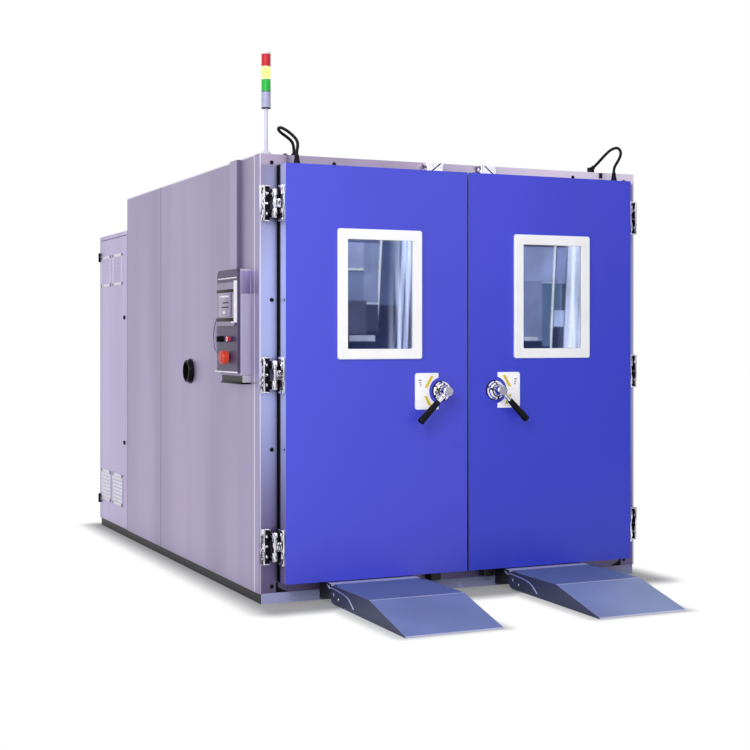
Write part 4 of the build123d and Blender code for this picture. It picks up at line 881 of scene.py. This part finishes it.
# The white bars beside and under the screen are painted highlights on the edges of its bezel.
FASCIA_BLOCKS = {
    "dark bar over the screen": ((-1.1440, -1.073, 1.493), (-1.143, -0.807, 1.508), DARK),
    "dark bar under the screen": ((-1.1440, -1.073, 1.351), (-1.143, -0.807, 1.368), DARK),
    "screen field": ((-1.1440, -1.022, 1.373), (-1.143, -0.822, 1.491), PALE),
    "screen heading": ((-1.1446, -0.990, 1.470), (-1.144, -0.855, 1.478), WHITE),
    "upper screen bar": ((-1.1446, -0.990, 1.440), (-1.144, -0.900, 1.446), DARK),
    "lower screen bar": ((-1.1446, -0.990, 1.418), (-1.144, -0.880, 1.424), DARK),
    "screen button": ((-1.1446, -0.940, 1.390), (-1.144, -0.900, 1.402), WHITE),
    "painted highlight beside the screen": ((-1.1485, -1.100, 1.345), (-1.1365, -1.080, 1.548), WHITE),
    "painted highlight under the screen": ((-1.1450, -1.080, 1.343), (-1.1365, -1.030, 1.350), WHITE),
    "ledge": ((-1.1485, -1.104, 1.1005), (-1.1365, -0.792, 1.107), WHITE),
    "line over the screen": ((-1.1380, -1.090, 1.560), (-1.1365, -0.806, 1.5655), WHITE),
    "plate on the front side": ((-1.1245, -1.1058, 1.484), (-1.073, -1.105, 1.594), SHEET),
    "dark strip under the box": ((-1.1210, -1.1045, 1.046), (-1.0705, -0.800, 1.0545), DARK),
}
LAMP_Y, LAMP_Z = -1.023, 1.265
LAMP_DISCS = ((-1.1645, -1.1655, 0.0125, 0.0118, WHITE), (-1.1650, -1.1662, 0.0085, 0.0075, RED))
fascia = Shape()
for low, high, finish in FASCIA_BLOCKS.values():
    fascia.block(low, high, 0.0002, finish)
for x0, x1, wide, narrow, finish in LAMP_DISCS:
    fascia.turned((x0, LAMP_Y, LAMP_Z), (x1, LAMP_Y, LAMP_Z), ((0, 0), (0, wide), (1, narrow), (1, 0)), 28,
                  finish)
CONDUIT_ROUTE = [(-1.075, -0.790, 1.440), (-1.079, -0.640, 1.410), (-1.079, -0.535, 1.290),
                 (-1.079, -0.590, 1.180), (-1.075, -0.790, 1.130)]
conduit = finish_mesh(tube_along(centreline("conduit", CONDUIT_ROUTE), 0.0035, 12), "box_conduit",
                      [box_steel])
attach(conduit, "root")
fascia.done("fascia_details", "root", "slate_panel",
            [black_plastic, screen_pale, trim_white, box_steel, red_plastic])


# Signal tower: three ribbed plastic lenses on a grey body and a pale pole, with thin rings between
# them and a white cap on top. The amber one is lit.
def lens_plastic(name, colour, lit=0.0, rim=None, cap_from=3.0):
    """Ribbed translucent plastic. A lit lens glows, paler at its middle than at its rim.

    Above cap_from, in z, it is the tower's white cap.
    """
    recipe = Recipe(name)
    place = recipe.axes()
    rib = abs((place[2] * 160) % 1 - 0.5) * 2
    shade = recipe.blend(0.4 * rib, colour, tuple(c * 0.75 for c in colour))
    shade = recipe.blend(place[2] > cap_from, shade, (0.86, 0.86, 0.90))
    sockets = {"Base Color": shade, "Roughness": 0.18 + 0.1 * rib,
               "Normal": recipe.bump(rib, 0.5, 0.0012)}
    if lit:
        sockets["Emission Color"] = recipe.blend(0.25 * rib, rim, colour)
        recipe.shader.inputs["Emission Strength"].default_value = lit
    return recipe.dress(sockets)


dress(lens_plastic("red_lens", (0.62, 0.002, 0.012), cap_from=2.637), "red_lens")
dress(lens_plastic("green_lens", (0.001, 0.50, 0.045)), "green_lens")
dress(lens_plastic("amber_lens", (1.0, 0.50, 0.06), 0.85, (1.0, 0.90, 0.32)), "amber_lens")
dress(moulding("grey_plastic", (0.44, 0.44, 0.66), foot=(2.374, (0.66, 0.66, 0.80))), "tower_stand")
TOWER_X, TOWER_Y = -1.013, -1.165
RING_PROFILE = ((0, 0), (0, 0.0228), (1, 0.0228), (1, 0))
RING_HEIGHT, WHITE_RING, BLACK_RING = 0.003, 0, 1
rings = Shape()
for z, finish in ((2.5145, WHITE_RING), (2.5745, WHITE_RING), (2.4545, BLACK_RING), (2.376, BLACK_RING)):
    rings.turned((TOWER_X, TOWER_Y, z), (TOWER_X, TOWER_Y, z + RING_HEIGHT), RING_PROFILE, 36, finish)
rings.done("tower_rings", "root", "grey_plastic", [trim_white, black_plastic])

# Machine compartment behind the cabinet: a stainless cover and a service door. Each of the door's
# vents has a white edge and seven sheet hoods over its slots.
machine_steel = steel_sheet("machine_steel", (0.53, 0.455, 0.70), 0.38,
                            painted_light_and_tints=((0, -1.0748, -1.0752, (0.006, 0.006, 0.008)),))
dress(machine_steel, "machine_cover", "access_door")
VENT_CENTRES = [(y, z) for y in (1.461, 1.768) for z in (0.287, 1.712)]
VENT_HALF_WIDTH, VENT_HALF_HEIGHT, VENT_EDGE = 0.123, 0.1025, 0.019
HOODS, HOOD_PITCH, HOOD_HEIGHT, HOOD_HALF_WIDTH = 7, 0.02357, 0.0165, 0.104
EDGE_FACE, EDGE_BACK = -1.0745, -1.0729
vents = Shape()
for y, z in VENT_CENTRES:
    for way in (-1, 1):
        y_edge, z_edge = y + way * VENT_HALF_WIDTH, z + way * VENT_HALF_HEIGHT
        ys = sorted((y_edge, y_edge - way * VENT_EDGE))
        zs = sorted((z_edge, z_edge - way * VENT_EDGE))
        vents.block((EDGE_FACE, ys[0], z - VENT_HALF_HEIGHT), (EDGE_BACK, ys[1], z + VENT_HALF_HEIGHT),
                    0.0005)
        vents.block((EDGE_FACE, y - VENT_HALF_WIDTH, zs[0]), (EDGE_BACK, y + VENT_HALF_WIDTH, zs[1]),
                    0.0005)
    for hood in range(HOODS):
        low = z - 0.079 + HOOD_PITCH * hood
        high = low + HOOD_HEIGHT
        profile = [(-1.0731, high), (EDGE_FACE, low), (-1.0739, low), (-1.0726, high)]
        vents.plate(profile, 1, y - HOOD_HALF_WIDTH, y + HOOD_HALF_WIDTH, 0, 1 if z > 1 else 0)
vents.done("vent_edges", "access_door", "white_frame", [trim_white, machine_steel])
dress(black_plastic, "lower_panel_latch", "upper_panel_latch", "condenser_fan")

# Air handling and refrigeration: coils of thin aluminium fins, an aluminium fan that moves the air
# inside, and motors and compressors coated with machine paint.
fin_aluminium = steel_sheet("fin_aluminium", (0.70, 0.71, 0.74), 0.4, grain=(90.0, 500.0, 500.0))
motor_paint = frame_coat("motor_paint", (0.045, 0.05, 0.055), 0.4)
dress(fin_aluminium, "evaporator_coil", "condenser_coil", "circulation_fan")
dress(motor_paint, "fan_motors", "compressors")

# Floor, light and surroundings: a white floor with a painted soft shadow where the object stands, a
# hall for the glass and the chrome to mirror, a dark card on the right, and one large lamp on the left.
# The floor's painted shadow lies round these rectangles.
CABINET_FLOOR = ((-1.06, -1.42), (1.06, 1.94))
RAMP_FLOORS = (((-0.765, -2.17), (-0.287, -1.3)), ((0.209, -2.17), (0.687, -1.3)))


def stage_plane(name, centre, across, up, finish):
    """A flat stage card about a centre, from its two half sides."""
    centre, across, up = Vector(centre), Vector(across), Vector(up)
    data = bpy.data.meshes.new(name)
    data.from_pydata([centre - across - up, centre + across - up, centre + across + up,
                      centre - across + up], [], [(0, 1, 2, 3)])
    data.materials.append(finish)
    card = bpy.data.objects.new(name, data)
    scene.collection.objects.link(card)
    return card


def near_box(x, y, low, high, reach):
    """1 on a rectangle of the floor, falling to 0 at the reach around it."""
    centre = [(low[i] + high[i]) / 2 for i in range(2)]
    half = [(high[i] - low[i]) / 2 for i in range(2)]
    away = [(abs(place - centre[i]) - half[i]).at_least(0.0) for i, place in enumerate((x, y))]
    gap = (away[0] * away[0] + away[1] * away[1]).root()
    return 1 - gap.rise(0.0, reach)


def seen_directly(recipe):
    """1 for what the camera sees, also mirrored or through glass, and 0 for the light that falls."""
    paths = recipe.node("LightPath").socket.node.outputs
    seen = Wire(recipe, paths["Is Camera Ray"]) + Wire(recipe, paths["Is Glossy Ray"])
    return (seen + Wire(recipe, paths["Is Transmission Ray"])).rise(0.0, 1.0)


def pale_floor():
    """A white floor for the camera and for gloss, with a painted soft shadow where the object stands."""
    recipe = Recipe("pale_floor")
    x, y, _ = recipe.axes()
    speckle = recipe.cloud(40, 2)
    shadow = 0.80 * near_box(x, y, *CABINET_FLOOR, 0.20)
    for low, high in RAMP_FLOORS:
        shadow = shadow.at_least(0.5 * near_box(x, y, low, high, 0.10))
    pale = recipe.blend(speckle, (0.90, 0.90, 0.90), (0.94, 0.94, 0.94))
    recipe.dress({"Base Color": recipe.blend(shadow.rise(0.0, 0.3), pale, (0.25, 0.25, 0.26)),
                  "Roughness": 0.9, "Specular IOR Level": 0.1})
    share = seen_directly(recipe) * (1 - shadow)
    white = recipe.node("Emission", None, {"Color": (1.0, 1.0, 1.0), "Strength": 1.0})
    painted = Wire(recipe, recipe.shader.outputs[0])
    mixed = recipe.node("MixShader", None, {0: share, 1: painted, 2: white})
    recipe.join(recipe.tree.nodes["Material Output"].inputs["Surface"], mixed)
    return recipe.owner


stage_plane("floor", (0, 0, -0.0006), (30, 0, 0), (0, 30, 0), pale_floor())

LEFT_VIEW, RIGHT_VIEW, VIEW_WIDTH = 1.36, 3.06, 0.61
VIEW_TOP, VIEW_HEIGHT = 2.10, 0.925
BAY_GAP, BAY_TONE = (0.02, 0.03, 0.10), (0.85, 0.85, 0.72)
LEFT_BAYS = ((0.0, 1.0, 0.0, 0.6, (0.20, 0.26, 0.62)), (0.0, 0.25, 0.03, 0.28, (0.95, 1.02, 1.75)),
             (0.0, 0.25, 0.265, 0.285, (2.0, 2.1, 2.4)), (0.25, 0.50, 0.03, 0.59, (0.65, 0.75, 1.30)),
             (0.25, 0.50, 0.575, 0.592, (1.6, 1.7, 2.2)), (0.0, 0.25, 0.30, 0.56, (0.48, 0.58, 1.08)),
             (0.01, 0.29, 0.56, 0.86, (0.22, 0.24, 0.48)), (0.29, 0.48, 0.60, 0.84, (0.13, 0.15, 0.35)),
             (0.03, 0.42, 0.875, 0.93, (1.1, 1.15, 1.6)), (0.50, 0.53, 0.0, 1.0, (2.4, 2.4, 2.6)),
             (0.57, 0.81, 0.02, 0.59, (0.20, 0.28, 0.65)), (0.84, 0.90, 0.0, 1.0, (1.6, 1.8, 2.6)),
             (0.93, 1.0, 0.0, 1.0, (1.1, 1.3, 2.2)))
RIGHT_BAYS = ((0.0, 0.54, 0.02, 0.93, (0.55, 0.62, 1.15)), (0.0, 0.54, 0.02, 0.35, (0.85, 0.95, 1.70)),
              (0.33, 0.54, 0.36, 0.98, (0.26, 0.40, 0.78)), (0.33, 0.54, 0.355, 0.37, (1.2, 1.3, 1.8)),
              (0.03, 0.26, 0.89, 0.925, (1.4, 1.45, 1.9)), (0.54, 0.575, 0.0, 1.0, (2.4, 2.4, 2.6)),
              (0.59, 0.76, 0.02, 0.37, (0.70, 0.82, 1.55)), (0.59, 0.72, 0.37, 0.63, (0.26, 0.40, 0.78)),
              (0.59, 0.76, 0.63, 0.79, (1.1, 1.3, 2.1)), (0.78, 1.0, 0.0, 1.0, (1.5, 1.6, 2.3)),
              (0.86, 0.92, 0.0, 1.0, (2.4, 2.4, 2.6)))


def view_from_doors():
    """What the coated glass and the chrome mirror: a hall with pale bays and dark gaps.

    Each window sees a piece of the card that is VIEW_WIDTH wide and VIEW_HEIGHT high. A bay is
    (left, right, top, bottom, colour) in shares of that piece.
    """
    recipe = Recipe("view_from_doors")
    x, _, z = recipe.axes()
    soft = recipe.cloud(3.0, 3)
    slant = (x * 0.5 - z * 0.6 + soft * 0.8).rise(-1.2, 2.2)
    shade = recipe.blend(slant, (1.5, 1.5, 1.6), (0.12, 0.12, 0.20))
    gaps = abs((x * 0.55) % 1 - 0.5).rise(0.36, 0.40)
    shade = recipe.blend(0.85 * gaps, shade, (0.02, 0.02, 0.03))
    down = (VIEW_TOP - z) / VIEW_HEIGHT
    streaks = recipe.cloud(1.0, 2, (14.0, 1.0, 0.7)).rise(0.42, 0.62)
    for start, bays in ((LEFT_VIEW, LEFT_BAYS), (RIGHT_VIEW, RIGHT_BAYS)):
        across = (x - start) / VIEW_WIDTH
        across = across + 0.08 * down * (across > 0.47)
        inside = (across > -0.06) * (across < 1.06) * (down > -0.05) * (down < 1.05)
        view = recipe.blend(soft.rise(0.3, 0.7), BAY_GAP, tuple(c * 1.5 for c in BAY_GAP))
        for left, right, top, bottom, colour in bays:
            bay = (across > left) * (across < right) * (down > top) * (down < bottom)
            toned = tuple(c * share for c, share in zip(colour, BAY_TONE))
            uneven = recipe.blend(soft.rise(0.35, 0.65), tuple(c * 0.72 for c in toned), toned)
            view = recipe.blend(bay, view, uneven)
        view = recipe.blend(across.rise(0.62, 1.0) * streaks, view, (2.3, 2.4, 2.7))
        shade = recipe.blend(inside, shade, view)
    light = recipe.node("Emission", None, {"Color": shade, "Strength": 1.0})
    recipe.join(recipe.tree.nodes["Material Output"].inputs["Surface"], light)
    return recipe.owner


def unlit_black():
    """Dark cloth of the studio flag."""
    recipe = Recipe("unlit_black")
    weave = recipe.cloud(300, 2)
    return recipe.dress({"Base Color": recipe.blend(weave, (0.004, 0.004, 0.004), (0.010, 0.010, 0.010)),
                         "Roughness": 0.9 + 0.1 * weave})


mirror_view = stage_plane("mirror_view", (2.5, -6.0, 2.0), (4.5, 0, 0), (0, 0, 2.0), view_from_doors())
side_flag = stage_plane("side_flag", (3.2, -4.0, 1.6), (0, 2.4, 0), (0, 0, 1.6), unlit_black())
for card in (mirror_view, side_flag):
    card.visible_camera = False
    card.visible_transmission = False
side_flag.visible_glossy = False
mirror_view.visible_diffuse = False
mirror_view.visible_shadow = False

studio = Recipe("studio", bpy.data.worlds.new("studio"))
scene.world = studio.owner
background = studio.tree.nodes["Background"]
sky = studio.blend(seen_directly(studio), (0.62, 0.62, 0.66), (1.0, 1.0, 1.0))
studio.join(background.inputs["Color"], sky)

key = bpy.data.lights.new("key", "AREA")
key.shape = "RECTANGLE"
key.size = 3.0
key.size_y = 3.0
key.energy = 200
key_lamp = bpy.data.objects.new("key", key)
key_lamp.location = (-4.5, -5.5, 4.2)
key_aim = Vector((-0.4, -1.3, 1.4)) - key_lamp.location
key_lamp.rotation_euler = key_aim.to_track_quat("-Z", "Y").to_euler()
scene.collection.objects.link(key_lamp)
